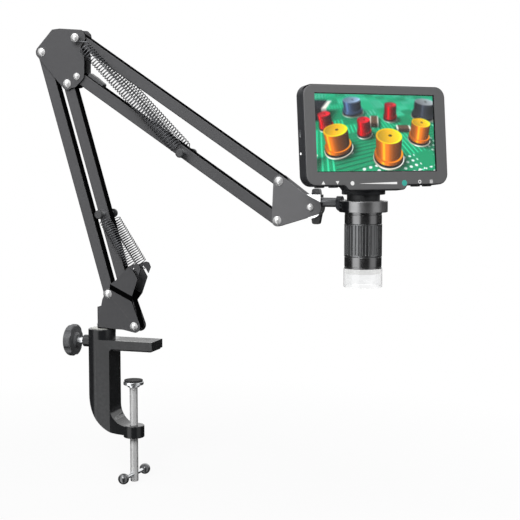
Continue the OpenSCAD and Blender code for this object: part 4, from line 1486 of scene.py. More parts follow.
@dataclass
class Microscope:
    """The barrel, its focus ring, nose, lamps, lens and clear shroud."""

    barrel_d: float = 43.0
    core_d: float = 37.0
    focus_len: float = 37.9
    nose_len: float = 13.7
    shroud_len: float = 21.5
    grooves: int = 36
    knurl_high: float = ARM.ring_low - 13.2
    knurl_low: float = knurl_high - focus_len
    nose_low: float = knurl_low - nose_len

    def build(self) -> None:
        """Models and dresses the microscope."""
        barrel = finish_piece(self.barrel(), Look.BARREL, "scope", "barrel", "barrel")
        two_tone(barrel, Look.KEY, lambda centre, normal: centre.z > ARM.ring_low + 13)
        finish_piece(self.grip(), Look.GRIP, "focus", "barrel", "focus_ring")
        nose = finish_piece(self.nose(), Look.BARREL, "scope", "barrel", "nose_ring")
        two_tone(nose, Look.SPIGOT, lambda centre, normal: centre.z < self.nose_low - 0.1)
        finish_piece(self.shroud(), Look.SHROUD, "scope", "clear", "clear_shroud")
        finish_piece(self.lamp_board(), Look.LAMP_BOARD, "scope", "led_board", "led_ring_board")
        finish_piece(self.lamps(), Look.LAMP, "scope", "led_board")
        finish_piece(self.lens(), Look.LENS, "scope", "lens", "objective_lens")
        finish_piece(self.lens_mount(), Look.BLACK_SCREW, "scope", "barrel")
        dress_nodes(Look.BOARD, "sensor_board")

    def upright(self, name: str, profile: Sequence[Point], steps: int = 96) -> Object:
        """Makes a turned piece on the barrel's axis."""
        return turned(name, profile, (ARM.barrel_x, 0, 0), steps=steps)

    def barrel(self) -> Object:
        """Models the barrel: a wide band, a core for the focus ring, and a neck."""
        outer, core = self.barrel_d / 2, self.core_d / 2
        band_low, top = self.knurl_high, ARM.ring_low + 13.2
        corners = [(15.5, self.nose_low + 4, 0), (core, self.nose_low + 4, 0), (core, band_low, 0),
                   (outer, band_low, 0.5), (outer, ARM.ring_low - 3.2, 0.2),
                   (outer - 0.35, ARM.ring_low - 2.9, 0.1), (outer - 0.35, ARM.ring_low - 2.1, 0.1),
                   (outer, ARM.ring_low - 1.8, 0.2), (outer, top, 0.6), (19, top, 0),
                   (19, top + 11, 0.5), (15.5, top + 11, 0)]
        return self.upright("scope_tube", rounded(corners))

    def grip(self) -> Object:
        """Models the focus ring with its closed-ended grooves."""
        low, high = self.knurl_low + 0.2, self.knurl_high - 0.2
        outer = self.barrel_d / 2 + 0.3
        grip = self.upright("focus_grip", ring_profile(self.core_d / 2 + 0.05, outer, low, high, 0.5), 144)
        profile = rounded([(0, low + 1.6, 0), (1.0, low + 1.6, 0.9), (1.0, high - 0.9, 0.9),
                           (0, high - 0.9, 0)])
        groove = turned("groove", profile, steps=14)
        cutters = []
        for index in range(self.grooves):
            turn = Matrix.Rotation(math.tau * index / self.grooves, 4, "Z")
            reach = Matrix.Translation(Vector((outer + 0.15, 0, 0)) * MM)
            move = Matrix.Translation((ARM.barrel_x * MM, 0, 0)) @ turn @ reach
            cutters.append(copied(groove, f"groove_{index}", move))
        bpy.data.objects.remove(groove)
        combine(grip, join("grooves", *cutters))
        return ease(grip, 0.14, 2, 40)

    def nose(self) -> Object:
        """Models the plain ring below the focus ring, with its spigot."""
        outer, core = self.barrel_d / 2, self.core_d / 2 + 0.03
        low, high = self.nose_low, self.knurl_low
        corners = [(18, low - 6, 0), (20.65, low - 6, 0.5), (20.65, low, 0), (outer, low, 0.6),
                   (outer, low + 1.6, 0.1), (outer - 0.3, low + 1.8, 0.1), (outer - 0.3, low + 2.4, 0.1),
                   (outer, low + 2.6, 0.1), (outer, high, 0.5), (core, high, 0), (core, low + 4, 0),
                   (18, low + 4, 0)]
        return self.upright("nose_band", rounded(corners))

    def shroud(self) -> Object:
        """Models the clear shroud with its rounded rim."""
        low = self.nose_low - self.shroud_len
        return self.upright("clear_tube", ring_profile(20.7, 22.25, low, self.nose_low, 0.6))

    def lamp_board(self) -> Object:
        """Models the ring-shaped board that the lamps sit on."""
        low = self.nose_low
        board = ring_profile(8.2, 17.8, low - 2, low - 0.4, 0.2)
        ring = self.upright("lamp_ring", board)
        cups = []
        for middle in self.lamp_places(low - 3.2):
            cups.append(turned("lamp_cup", ring_profile(1.9, 2.5, 0, 1.4, 0.15), middle, Z_AXIS, 24))
        return join("lamp_ring", ring, *cups)

    def lamp_places(self, height: float) -> list[Corner]:
        """Returns the places of the eight lamps."""
        turns = [math.tau * index / 8 for index in range(8)]
        return [(ARM.barrel_x + 13.2 * math.cos(t), 13.2 * math.sin(t), height) for t in turns]

    def lamps(self) -> Object:
        """Models the domed lamps."""
        profile = [(0, 0), *arc((0, 0), 1.88, 0, 90, 6)]
        height = self.nose_low - 2.1
        domes = [turned("lamp", profile, at, -Z_AXIS, 20, 60) for at in self.lamp_places(height)]
        return join("lamp_domes", *domes)

    def lens(self) -> Object:
        """Models the objective lens with its curved front."""
        low = self.nose_low
        front = arc((0, low + 8), 12.6, -37, -90, 8)[::-1]
        corners = [*front, (7.6, low + 10), (0, low + 10)]
        return self.upright("front_lens", corners, 64)

    def lens_mount(self) -> Object:
        """Models the black cell that holds the lens."""
        low = self.nose_low
        corners = [(7.7, low - 4, 0.3), (8.0, low - 4, 0), (8.0, low + 4.3, 0), (15.4, low + 4.3, 0.3),
                   (15.4, low + 9.2, 0.3), (7.7, low + 9.2, 0)]
        return self.upright("lens_cell", rounded(corners), 64)


# ---------- screen housing ----------


@dataclass
class ScreenHousing:
    """The bezel, the back shell, the panel behind its glass, the keys and the printed marks."""

    width: float = 185.5
    height: float = 112.6
    depth: float = 18.0
    corner: float = 12.5
    bezel: float = 5.0
    face: float = 2.0
    wall: float = 2.2
    turn: float = 43.5
    lean: float = 5.5
    side_step: float = 3.0
    reach: float = 30.6
    picture: Point = (154.1, 85.9)
    window_x: float = -0.5
    window_z: float = 16.2 + picture[1] / 2
    chin_x: float = -3.0
    chin_w: float = 81.5
    chin_drop: float = 5.5
    chin_slope: float = 4.0
    pod_d: float = 50.0
    pod_low: float = ARM.ring_low + 20.2
    posts: tuple[Point, ...] = ((-84, 10), (84, 10), (-84, 102), (84, 102))
    key_y: float = 10.0
    port: Point = (key_y + 0.5, height - 54)
    keys: tuple[tuple[str, float, float], ...] = (
        ("up", -71.8, 0.0), ("down", -54.0, 0.0), ("record", -31.0, -5.5), ("ok", 53.6, 0.0),
        ("menu", 69.3, 0.0))

    def build(self) -> None:
        """Models and dresses the housing."""
        bezel = finish_piece(self.front(), Look.BEZEL, "scope", "bezel", "front_bezel")
        ahead = self.move.to_3x3() @ -Y_AXIS
        above = self.move.to_3x3() @ Z_AXIS
        two_tone(bezel, Look.SHELL, lambda centre, normal: normal.dot(ahead) < 0.8)
        # Painted shade: the bezel's upward faces take the near-black coat.
        two_tone(bezel, Look.EDGE_COAT,
                 lambda centre, normal: normal.dot(above) > 0.5 and normal.dot(ahead) < 0.95)
        finish_piece(self.shell(), Look.SHELL, "scope", "shell", "back_shell")
        finish_piece(self.glass(), Look.GLASS, "scope", "glass", "cover_glass")
        finish_piece(self.panel(), Look.BORDER, "scope", "screen", "lcd_panel")
        finish_piece(LiveView(self).build(), Look.PICTURE, "scope", "screen")
        finish_piece(self.socket(), Look.ZINC, "scope", "plated", "usb_socket")
        finish_piece(self.screws(), Look.BLACK_SCREW, "scope", "screw", "housing_screws")
        for name, x, z in self.keys:
            finish_piece(self.key(name, x, z), Look.KEY, f"key_{name}", "shell", f"button_{name}")
        # The printed marks glow: painted light.
        finish_piece(self.marks(), Look.PRINT, "scope", "bezel")
        finish_piece(self.lit_dot(), Look.TEAL, "scope", "bezel")
        finish_piece(self.charge_lamp(), Look.CHARGE_LAMP, "scope", "shell")
        dress_nodes(Look.BOARD, "main_board")
        dress_nodes(Look.FOIL, "battery")

    @property
    def move(self) -> Matrix:
        """The move from the housing's own frame to the object's."""
        spin = Matrix.Rotation(math.radians(self.turn), 4, "Z")
        lean = Matrix.Rotation(math.radians(-self.lean), 4, "X")
        corner = Vector((ARM.barrel_x, 0, ARM.ring_low + 31.5)) * MM
        step = Vector((self.side_step, -self.reach, 0)) * MM
        return Matrix.Translation(corner) @ spin @ Matrix.Translation(step) @ lean

    def put(self, obj: Object) -> Object:
        """Moves a piece from the housing's own frame to the object's."""
        return place(obj, self.move)

    def outline(self, grow: float = 0.0) -> list[Point]:
        """Returns the housing's outline with its lowered chin, grown by some amount."""
        radius, half = self.corner + grow, self.width / 2 - self.corner
        high = self.height - self.corner
        left, right = self.chin_x - self.chin_w / 2, self.chin_x + self.chin_w / 2
        low = -self.chin_drop - grow
        chin = rounded_run([(left - grow / 2 - 12, -grow, 0), (left - grow / 2, -grow, 5),
                            (left + self.chin_slope, low, 5), (right - self.chin_slope, low, 5),
                            (right + grow / 2, -grow, 5), (right + grow / 2 + 12, -grow, 0)], 4)
        return [*arc((-half, self.corner), radius, 180, 270), *chin,
                *arc((half, self.corner), radius, 270, 360),
                *arc((half, high), radius, 0, 90), *arc((-half, high), radius, 90, 180)]

    def window(self, grow: float, y0: float, y1: float) -> Object:
        """Makes a block the size of the picture's window."""
        half_w, half_h = self.picture[0] / 2 + grow, self.picture[1] / 2 + grow
        low = (self.window_x - half_w, y0, self.window_z - half_h)
        return block("window", low, (self.window_x + half_w, y1, self.window_z + half_h))

    def front(self) -> Object:
        """Models the bezel with its rounded front edge and chamfered window."""
        bezel = slab("screen_bezel", self.outline(), 0, self.bezel)
        bevel_edges(bezel, lambda a, b: a.y < 0.01 and b.y < 0.01, 1.9, 5)
        combine(bezel, slab("hollow", self.outline(-self.wall), self.face, self.bezel + 2))
        posts = [y_rod("post", p, self.face - 0.2, self.bezel, 3.5) for p in self.posts]
        combine(bezel, *posts, operation="UNION")
        chamfer = self.window(1.0, -1, self.face + 2)
        combine(bezel, chamfer, *[y_rod("pilot", p, self.face, 8, 1.3) for p in self.posts])
        return self.put(ease(bezel, 0.3, 2, 50))

    def shell(self) -> Object:
        """Models the back shell with the pod that grips the barrel's neck."""
        shell = slab("screen_shell", self.outline(), self.bezel, self.depth)
        bevel_edges(shell, lambda a, b: min(a.y, b.y) > self.depth - 0.01, 3.4, 6)
        bevel_edges(shell, lambda a, b: max(a.y, b.y) < self.bezel + 0.01, 0.45, 2)
        self.put(shell)
        combine(shell, self.pod(self.pod_d / 2, self.pod_low, 67, 2.6), operation="UNION")
        ease(shell, 0.5, 2, 50)
        hollow = slab("hollow", self.outline(-self.wall), self.bezel - 1, self.depth - self.wall)
        combine(shell, self.put(hollow), self.pod(self.pod_d / 2 - self.wall, self.pod_low + 3, 61.8, 1))
        posts = [self.put(y_rod("post", p, self.bezel, self.depth - 1, 3.5)) for p in self.posts]
        combine(shell, *posts, operation="UNION")
        return smooth(combine(shell, *self.shell_holes()), 34)

    def pod(self, radius: float, low: float, height: float, edge: float) -> Object:
        """Makes the round housing over the barrel's upper end, kept behind the bezel."""
        profile = [(0, low, 0), (radius, low, min(edge, 1.2)), (radius, low + height, edge),
                   (0, low + height, 0)]
        pod = turned("pod", rounded(profile, 6), (ARM.barrel_x, 0, 0), steps=96)
        keep = self.put(block("keep", (-60, self.bezel + 0.5, -60), (60, 100, 150)))
        return combine(pod, keep, operation="INTERSECT")

    def shell_holes(self) -> list[Object]:
        """Makes the cutters of the shell: the neck, the screw wells, the keys and the socket."""
        holes = [turned("neck", rod_profile(19.03, self.pod_low - 2, self.pod_low + 4, 0),
                        (ARM.barrel_x, 0, 0), steps=96)]
        for post in self.posts:
            holes.append(self.put(y_rod("clear", post, 0, 30, 1.4)))
            holes.append(self.put(y_rod("well", post, self.depth - 2, 30, 2.7)))
        for _, x, z in self.keys:
            holes.append(self.put(self.pill("slot", x, 6.2, 3.2, z - 2, z + 4.2)))
        holes.append(self.put(self.oval("port", -self.width / 2 - 1, -self.width / 2 + 7, 1.7)))
        holes.append(place(y_rod("lamp_hole", (0, 0), 0, 3, 1.32), self.move @ self.lamp_move()))
        return holes

    def lamp_move(self) -> Matrix:
        """The move of the charging lamp's hole, in the left side below the socket."""
        at = Vector((-self.width / 2 - 1, self.port[0], 36.5)) * MM
        return Matrix.Translation(at) @ Matrix.Rotation(math.radians(-90), 4, "Z")

    def pill(self, name: str, x: float, half: float, radius: float, low: float, high: float) -> Object:
        """Makes an upright round-ended block under the housing."""
        run = half - radius
        flat = [*arc((x - run, self.key_y), radius, 90, 270, 10),
                *arc((x + run, self.key_y), radius, 270, 450, 10)]
        return prism(name, [(u, v, low) for u, v in flat], (0, 0, high - low))

    def oval(self, name: str, x0: float, x1: float, radius: float) -> Object:
        """Makes an upright oval block that lies along X at the charging socket."""
        y, z = self.port
        flat = [*arc((y, z + 3), radius, 0, 180, 8), *arc((y, z - 3), radius, 180, 360, 8)]
        return prism(name, [(x0, u, v) for u, v in flat], (x1 - x0, 0, 0))

    def key(self, name: str, x: float, z: float) -> Object:
        """Models a round-ended key with its inner flange."""
        cap = ease(self.pill(f"key_cap_{name}", x, 6.0, 3.0, z - 1.5, z + 2.4), 0.7, 3, 40)
        flange = self.pill("flange", x, 6.8, 3.8, z + 2.4, z + 3.6)
        return self.put(combine(cap, flange, operation="UNION"))

    def socket(self) -> Object:
        """Models the charging socket: an oval steel mouth with a tongue."""
        left = -self.width / 2
        mouth = self.oval("charge_socket", left + 0.15, left + 8.6, 1.6)
        combine(mouth, self.oval("inside", left - 1, left + 7, 1.15))
        y, z = self.port
        tongue = block("tongue", (left + 1.4, y - 0.35, z - 2.4), (left + 7.2, y + 0.35, z + 2.4))
        return self.put(smooth(join("charge_socket", mouth, tongue)))

    def glass(self) -> Object:
        """Models the cover glass with its ground edges."""
        return self.put(ease(self.window(0.9, 0.3, 1.5), 0.25, 2, 50))

    def panel(self) -> Object:
        """Models the panel with the thin dark border around its picture."""
        low = (self.window_x - 79, self.face + 0.01, self.window_z - 46)
        panel = block("panel", low, (self.window_x + 79, self.face + 3.41, self.window_z + 46))
        return self.put(ease(panel, 0.3, 2, 50))

    def screws(self) -> Object:
        """Models the four housing screws with their cross recesses."""
        pieces = []
        for index, (x, z) in enumerate(self.posts):
            shank = [(0, 3, 0), (1.25, 3, 0.3), (1.25, self.depth - 2, 0), (2.5, self.depth - 2, 0.2),
                     (2.5, self.depth - 0.4, 0.7), (0, self.depth - 0.4, 0)]
            screw = turned(f"screw_{index}", rounded(shank), (x, 0, z), Y_AXIS, 32)
            top = self.depth - 1.4
            across = block("recess", (x - 1.5, top, z - 0.35), (x + 1.5, top + 3, z + 0.35))
            down = block("recess", (x - 0.35, top, z - 1.5), (x + 0.35, top + 3, z + 1.5))
            pieces.append(smooth(combine(screw, across, down)))
        return self.put(join("shell_screws", *pieces))

    def marks(self) -> Object:
        """Models the printed marks on the bezel."""
        low, high = -0.04, 0.3
        line = [(-25.8, 2.05), (23.2, 0.9), (23.2, 3.5), (-25.8, 2.2)]
        ring = slab("ring", arc((53.6, 3.4), 2.1, 0, 345, 23), low, high)
        combine(ring, y_rod("hole", (53.6, 3.4), -2, 2, 1.2))
        pieces = [
            slab("up", [(-74.1, 1.7), (-69.5, 1.7), (-71.8, 5.5)], low, high),
            slab("down", [(-54, 1.4), (-51.7, 5.2), (-56.3, 5.2)], low, high),
            slab("record", arc((-35, 2.6), 2.4, 0, 345, 23), low, high),
            slab("line", line, low, high),
            ring,
        ]
        for row in range(3):
            z = 1.6 + 1.5 * row
            pieces.append(slab("bar", [(67.3, z), (71.3, z), (71.3, z + 0.7), (67.3, z + 0.7)], low, high))
        return self.put(smooth(join("printed_marks", *pieces)))

    def charge_lamp(self) -> Object:
        """Models the domed window of the charging lamp."""
        profile = [(0, 0), (1.3, 0), (1.3, 1.5), (1.22, 1.9), (0.95, 2.2), (0.5, 2.42), (0, 2.48)]
        lamp = turned("charge_lamp", profile, (0, 2.6, 0), -Y_AXIS, 24)
        return place(lamp, self.move @ self.lamp_move())

    def lit_dot(self) -> Object:
        """Models the lit dot at the end of the printed line."""
        return self.put(slab("lit_dot", arc((33, 2.2), 3.4, 0, 350, 35), -0.04, 0.3))


# ---------- the live view on the screen ----------


@dataclass(frozen=True)
class RoundPart:
    """A round part that stands on the pictured board.

    Attributes:
        at: its place on the board.
        radius: its radius.
        height: its height.
        colour: colour of its side.
        crown: colour of its top.
    """

    at: Point
    radius: float
    height: float
    colour: Colour
    crown: Colour


@dataclass
class LiveView:
    """The picture on the screen: a made-up circuit board, seen low over its parts."""

    housing: ScreenHousing
    columns: int = 340
    rows: int = 190
    eye: Corner = (0.4, -9.5, 7.2)
    parts: tuple[RoundPart, ...] = (
        *(RoundPart(at, radius, height, (0.88, 0.5, 0.03), (0.99, 0.8, 0.12))
          for at, radius, height in (((1.35, -0.9), 1.0, 1.9), ((-2.9, 0.1), 0.95, 1.75),
                                     ((4.6, 1.5), 0.85, 1.7))),
        *(RoundPart(at, 0.62, 1.5, (0.72, 0.03, 0.10), (0.9, 0.16, 0.24))
          for at in ((-0.8, 2.3), (-4.9, 3.4))),
        RoundPart((2.2, 5.6), 0.7, 1.7, (0.66, 0.05, 0.10), (0.8, 0.2, 0.25)),
        RoundPart((-2.6, 7.2), 1.1, 1.6, (0.30, 0.38, 0.50), (0.6, 0.68, 0.78)),
        RoundPart((6.6, 6.4), 1.2, 1.8, (0.22, 0.24, 0.28), (0.66, 0.68, 0.7)),
    )
    chips: tuple[Chip, ...] = (
        (-1.1, -3.3, 0.55, 0.3, 0.32), (3.9, -2.9, 0.6, 0.32, 0.34), (-5.4, -1.9, 1.2, 0.8, 0.45),
        (6.3, -0.9, 0.7, 0.9, 0.4), (1.0, 0.9, 0.4, 0.25, 0.28), (-7.2, 1.6, 0.9, 0.5, 0.5),
        (3.4, 3.3, 0.8, 0.4, 0.3), (-7.4, 6.4, 2.2, 1.3, 1.3), (0.2, 4.7, 0.5, 0.9, 0.4))

    def build(self) -> Object:
        """Paints the picture onto a fine grid just in front of the panel."""
        width, height = self.housing.picture
        pick()
        bpy.ops.mesh.primitive_grid_add(x_subdivisions=self.columns, y_subdivisions=self.rows, size=MM)
        grid = adopt("live_picture")
        grid.data.transform(Matrix.Diagonal((width, height, 1, 1)))
        flat = np.array([vertex.co for vertex in grid.data.vertices])
        across = flat[:, 0] / (width * MM) + 0.5
        up = flat[:, 1] / (height * MM) + 0.5
        grid.data.transform(Matrix.Rotation(math.radians(90), 4, "X"))
        middle = Vector((self.housing.window_x, self.housing.face - 0.06, self.housing.window_z)) * MM
        place(grid, self.housing.move @ Matrix.Translation(middle))
        colours = np.ones((len(flat), 4), dtype=np.float32)
        colours[:, :3] = self.paint(across, up)
        layer = grid.data.color_attributes.new("picture", "FLOAT_COLOR", "POINT")
        layer.data.foreach_set("color", colours.ravel())
        return grid

    def paint(self, across: np.ndarray, up: np.ndarray) -> np.ndarray:
        """Returns the picture's colours, in linear light.

        Args:
            across: place of each point across the picture, from 0 to 1.
            up: place of each point up the picture, from 0 to 1.

        Returns:
            One row of red, green and blue for each point.
        """
        total = np.zeros((len(across), 3))
        eye = np.array(self.eye)
        ahead = np.array([0.0, 0.86, -0.51])
        right = np.array([1.0, 0.0, 0.0])
        above = np.cross(right, ahead)
        rng = np.random.default_rng(7)
        for _ in range(18):
            radius, turn = 0.17 * math.sqrt(rng.random()), math.tau * rng.random()
            lens = radius * (math.cos(turn) * right + math.sin(turn) * above)
            wobble = rng.random(2) - 0.5
            u = (across - 0.5 + wobble[0] / self.columns) * 0.88
            v = (up - 0.5 + wobble[1] / self.rows) * 0.5
            ray = ahead + np.outer(u, right) + np.outer(v, above)
            focus = eye + ray * 9.6
            start = eye + lens
            ray = focus - start
            total += self.shade(start, ray / np.linalg.norm(ray, axis=1, keepdims=True))
        colour = np.clip(1.22 * np.power(total / 18, 1.25), 0, 1)
        return np.where(colour <= 0.04045, colour / 12.92, ((colour + 0.055) / 1.055) ** 2.4)

    def shade(self, start: np.ndarray, ray: np.ndarray) -> np.ndarray:
        """Returns the colour that each ray meets, as seen on a screen."""
        reach = -start[2] / ray[:, 2]
        spot = start + ray * reach[:, None]
        colour = self.board(spot) * self.shadow(spot)[:, None]
        near = reach.copy()
        for chip in self.chips:
            self.hit_chip(chip, start, ray, near, colour)
        for part in self.parts:
            self.hit_round(part, start, ray, near, colour)
        haze = np.clip((near - 17) / 40, 0, 0.12)[:, None]
        return colour * (1 - haze) + np.array([0.30, 0.62, 0.60]) * haze

    def board(self, spot: np.ndarray) -> np.ndarray:
        """Returns the board's own colour: mask, tracks, pads and printed legends."""
        x, y = spot[:, 0] + 0.35 * spot[:, 1], spot[:, 1] - 0.35 * spot[:, 0]
        cell = np.sin(np.floor(x / 1.7) * 12.99 + np.floor(y / 1.7) * 78.2) * 43758.5
        chance = cell - np.floor(cell)
        colour = np.tile([0.06, 0.60, 0.44], (len(x), 1))
        track = (np.abs(x * 2.4 - np.floor(x * 2.4) - 0.5) < 0.17) & (chance > 0.55)
        colour[track] = [0.22, 0.80, 0.62]
        track = (np.abs(y * 2.1 - np.floor(y * 2.1) - 0.5) < 0.16) & (chance < 0.3)
        colour[track] = [0.03, 0.46, 0.34]
        u, v = x * 1.9 - np.floor(x * 1.9) - 0.5, y * 1.9 - np.floor(y * 1.9) - 0.5
        pads = (u * u + v * v < 0.07) & (chance > 0.34) & (chance < 0.5)
        colour[pads] = [0.86, 0.93, 0.90]
        legend = (np.abs(v) < 0.1) & (np.abs(u) < 0.4) & (chance > 0.86)
        colour[legend] = [0.95, 0.97, 0.96]
        gold = (spot[:, 1] < -4.2 + 0.16 * spot[:, 0]) & (np.abs(v) < 0.3)
        colour[gold] = [0.88, 0.58, 0.26]
        gap = (spot[:, 1] < -4.2 + 0.16 * spot[:, 0]) & (np.abs(v) >= 0.3)
        colour[gap] = [0.20, 0.09, 0.03]
        return colour

    def shadow(self, spot: np.ndarray) -> np.ndarray:
        """Returns how much light reaches the board beside its parts."""
        light = np.ones(len(spot))
        for part in self.parts:
            away = np.hypot(spot[:, 0] - part.at[0] - 0.35, spot[:, 1] - part.at[1] + 0.1)
            light *= 1 - 0.75 * np.exp(-((away / (1.25 * part.radius)) ** 4))
        for x, y, half_w, half_d, _ in self.chips:
            dx = np.abs(spot[:, 0] - x - 0.1) / (half_w + 0.2)
            dy = np.abs(spot[:, 1] - y) / (half_d + 0.2)
            light *= 1 - 0.6 * np.exp(-(np.maximum(dx, dy) ** 6))
        return light

    def hit_round(
        self, part: RoundPart, start: np.ndarray, ray: np.ndarray, near: np.ndarray, colour: np.ndarray
    ) -> None:
        """Paints a round part where the rays meet it first: a flared foot, its side and its crown."""
        rings = [(part.radius * 1.28, 0.0, 0.1, (0.88, 0.86, 0.8)),
                 (part.radius * 1.2, 0.1, 0.26, (0.1, 0.09, 0.1)),
                 (part.radius * 1.16, 0.26, 0.5, part.colour),
                 (part.radius, 0.5, part.height, part.colour)]
        dx, dy = start[0] - part.at[0], start[1] - part.at[1]
        square = ray[:, 0] ** 2 + ray[:, 1] ** 2
        half = ray[:, 0] * dx + ray[:, 1] * dy
        for radius, low, high, tone in rings:
            root = half**2 - square * (dx * dx + dy * dy - radius**2)
            reach = (-half - np.sqrt(np.maximum(root, 0))) / square
            height = start[2] + ray[:, 2] * reach
            side = (root > 0) & (height > low) & (height < high) & (reach < near)
            turn = (start[0] + ray[:, 0] * reach - part.at[0]) / radius
            light = 0.55 + 0.5 * np.exp(-(((turn + 0.35) / 0.45) ** 2)) - 0.3 * np.clip(turn, 0, 1) ** 2
            light += 0.45 * np.exp(-(((turn + 0.45) / 0.09) ** 2))
            colour[side] = np.clip(np.outer(light[side], tone), 0, 1)
            near[side] = reach[side]
            reach = (high - start[2]) / ray[:, 2]
            px, py = dx + ray[:, 0] * reach, dy + ray[:, 1] * reach
            away = np.hypot(px, py) / radius
            top = (away < 1) & (reach < near)
            crown = part.crown if high == part.height else tone
            shine = 0.86 + 0.2 * px / radius + 0.14 * (away > 0.86)
            shine *= 1 - 0.6 * (np.hypot(px - 0.1 * radius, py) < 0.14 * radius) * (high == part.height)
            colour[top] = np.clip(np.outer(shine[top], crown), 0, 1)
            near[top] = reach[top]

    def hit_chip(
        self, chip: Chip, start: np.ndarray, ray: np.ndarray, near: np.ndarray, colour: np.ndarray
    ) -> None:
        """Paints a small chip where the rays meet it first, with bright ends and a dark body."""
        x, y, half_w, half_d, height = chip
        large = half_w >= 0.9
        reach = (height - start[2]) / ray[:, 2]
        px, py = start[0] + ray[:, 0] * reach - x, start[1] + ray[:, 1] * reach - y
        seen = (np.abs(px) < half_w) & (np.abs(py) < half_d)
        body = (0.16, 0.17, 0.2) if large else (0.42, 0.33, 0.27)
        self.paint_face(seen, reach, np.abs(px) > 0.72 * half_w, ((0.86, 0.85, 0.82), body), near, colour)
        reach = (y - half_d - start[1]) / ray[:, 1]
        px, pz = start[0] + ray[:, 0] * reach - x, start[2] + ray[:, 2] * reach
        seen = (np.abs(px) < half_w) & (pz > 0) & (pz < height) & (reach > 0)
        body = (0.07, 0.07, 0.09) if large else (0.22, 0.17, 0.14)
        self.paint_face(seen, reach, np.abs(px) > 0.72 * half_w, ((0.6, 0.6, 0.58), body), near, colour)

    @staticmethod
    def paint_face(
        seen: np.ndarray, reach: np.ndarray, ends: np.ndarray, tones: tuple[Colour, Colour],
        near: np.ndarray, colour: np.ndarray
    ) -> None:
        """Paints the rays that meet a chip's face first, in the tone of its ends or its body."""
        hit = seen & (reach < near)
        colour[hit] = np.where(ends[hit, None], *tones)
        near[hit] = reach[hit]


# ---------- studio ----------


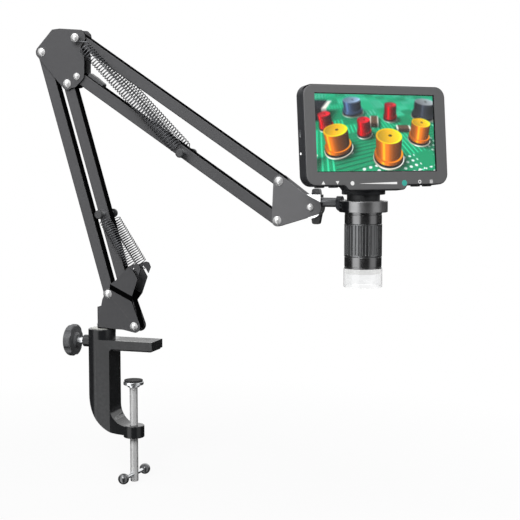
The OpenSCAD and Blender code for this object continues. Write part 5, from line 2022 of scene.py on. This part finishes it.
@dataclass
class Studio:
    """The camera, the lamps, the pale floor and the white surroundings."""

    eye: Corner = (603.4, -1349.1, 245.9)
    azimuth: float = 18.0
    elevation: float = 5.24
    lens: float = 83.08
    floor_drop: float = 2.0
    ambient: float = 0.07
    card_places: tuple[tuple[float, float, float, float], ...] = (
        (-121, 19, 8, 2.2), (-12, 14, 14, 0.9))

    def build(self) -> None:
        """Sets the whole studio up."""
        scene = bpy.context.scene
        scene.view_settings.view_transform = "Standard"
        self.camera()
        self.floor()
        self.surroundings()
        self.lamp("key_lamp", (150, -1500, 1150), 900, 20)
        self.lamp("top_lamp", (-500, -300, 1500), 1000, 6)
        back = self.lamp("back_lamp", (70, 1700, 350), 1000, 11)
        back.visible_camera = back.visible_transmission = back.visible_glossy = False

    def camera(self) -> None:
        """Adds the camera."""
        turn = math.radians(self.azimuth)
        pitch = math.radians(90 - self.elevation)
        bpy.ops.object.camera_add(location=Vector(self.eye) * MM, rotation=(pitch, 0, turn))
        camera = bpy.context.active_object
        camera.data.lens = self.lens
        camera.data.sensor_width = 36
        camera.data.clip_start = 0.01
        bpy.context.scene.camera = camera

    def lamp(self, name: str, at: Corner, size: float, power: float) -> Object:
        """Adds a soft lamp that points at the arm's middle, and returns it."""
        aim = (Vector((70, 0, 200)) - Vector(at)).to_track_quat("-Z", "Y").to_euler()
        bpy.ops.object.light_add(type="AREA", location=Vector(at) * MM, rotation=aim)
        lamp = bpy.context.active_object
        lamp.name = name
        lamp.data.energy = power
        lamp.data.size = size * MM
        return lamp

    def floor(self) -> None:
        """Adds the pale floor under the object."""
        low = CAD_BOX[0].z / MM - self.floor_drop
        pick()
        bpy.ops.mesh.primitive_plane_add(size=40, location=(0, 0, low * MM))
        floor = adopt("studio_floor")
        with edit(floor, "SELECT"):
            bpy.ops.mesh.subdivide(number_cuts=3)
        material = bpy.data.materials.new("pale_floor")
        material.use_nodes = True
        wiring = Wiring(material.node_tree)
        nodes = material.node_tree.nodes
        shader = nodes["Principled BSDF"]
        faint = wiring.ranged(wiring.noise(wiring.spot(), 3, 2), (0.3, 0.7), (0, 1))
        pale = wiring.mix(faint, (0.93, 0.93, 0.93), (0.95, 0.95, 0.95))
        rays = wiring.add("ShaderNodeLightPath")
        colour = wiring.mix(rays.outputs["Is Diffuse Ray"], pale, (0.12, 0.12, 0.12))
        wiring.feed(shader.inputs["Base Color"], colour)
        shader.inputs["Roughness"].default_value = 0.9
        shader.inputs["Specular IOR Level"].default_value = 0.0
        white = wiring.add("ShaderNodeEmission")
        white.inputs["Strength"].default_value = 1.0
        seen = wiring.math("MAXIMUM", rays.outputs["Is Camera Ray"], rays.outputs["Is Transmission Ray"])
        mixed = wiring.add("ShaderNodeMixShader")
        away = wiring.add("ShaderNodeVectorMath", operation="LENGTH")
        wiring.feed(away.inputs[0], wiring.spot())
        share = wiring.ranged(away.outputs["Value"], (0.25, 0.7), (0.93, 1))
        wiring.feed(mixed.inputs[0], wiring.math("MULTIPLY", seen, share))
        wiring.feed(mixed.inputs[1], shader.outputs["BSDF"])
        wiring.feed(mixed.inputs[2], white.outputs["Emission"])
        wiring.feed(nodes["Material Output"].inputs["Surface"], mixed.outputs["Shader"])
        floor.data.materials.append(material)
        floor.visible_glossy = False

    def surroundings(self) -> None:
        """Makes the surroundings white to the eye, dim as light, and banded in reflections."""
        world = bpy.data.worlds.new("soft_surroundings")
        bpy.context.scene.world = world
        world.use_nodes = True
        wiring = Wiring(world.node_tree)
        background = world.node_tree.nodes["Background"]
        rays = wiring.add("ShaderNodeLightPath")
        seen = wiring.math("MAXIMUM", rays.outputs["Is Camera Ray"], rays.outputs["Is Transmission Ray"])
        light = wiring.ranged(seen, (0, 1), (self.ambient, 1))
        choice = wiring.add("ShaderNodeMix")
        wiring.feed(choice.inputs[0], rays.outputs["Is Glossy Ray"])
        wiring.feed(choice.inputs[2], light)
        wiring.feed(choice.inputs[3], self.cards(wiring))
        wiring.feed(background.inputs["Strength"], choice.outputs[0])
        background.inputs["Color"].default_value = (1, 1, 1, 1)

    def cards(self, wiring: Wiring) -> NodeSocket:
        """Returns how bright a reflection finds the studio in each direction."""
        place_node = wiring.add("ShaderNodeTexCoord")
        split = wiring.add("ShaderNodeSeparateXYZ")
        wiring.feed(split.inputs[0], place_node.outputs["Generated"])
        turn = wiring.math("ARCTAN2", split.outputs["Y"], split.outputs["X"])
        light = wiring.ranged(split.outputs["Z"], (0.3, 0.8), (0.04, 0.8))
        behind = wiring.ranged(split.outputs["Y"], (0.2, 0.7), (0, 1.3))
        lifted = wiring.ranged(split.outputs["Z"], (0.02, 0.06), (0, 1))
        light = wiring.math("ADD", light, wiring.math("MULTIPLY", behind, lifted))
        for middle, half, soft, strength in self.card_places:
            away = wiring.math("ABSOLUTE", wiring.math("SUBTRACT", turn, math.radians(middle)), 0.0)
            edge = (math.radians(half), math.radians(half + soft))
            light = wiring.math("ADD", light, wiring.ranged(away, edge, (strength, 0)))
        return light


def main() -> None:
    """Builds the studio and every sub-assembly in turn."""
    logging.basicConfig(level=logging.INFO, format="%(message)s")
    Studio().build()
    for assembly in (
        TableClamp(), PostBracket(), LowerArm(), Elbow(), UpperArm(), HeadMount(), Microscope(),
        ScreenHousing(),
    ):
        assembly.build()


if __name__ == "__main__":
    main()
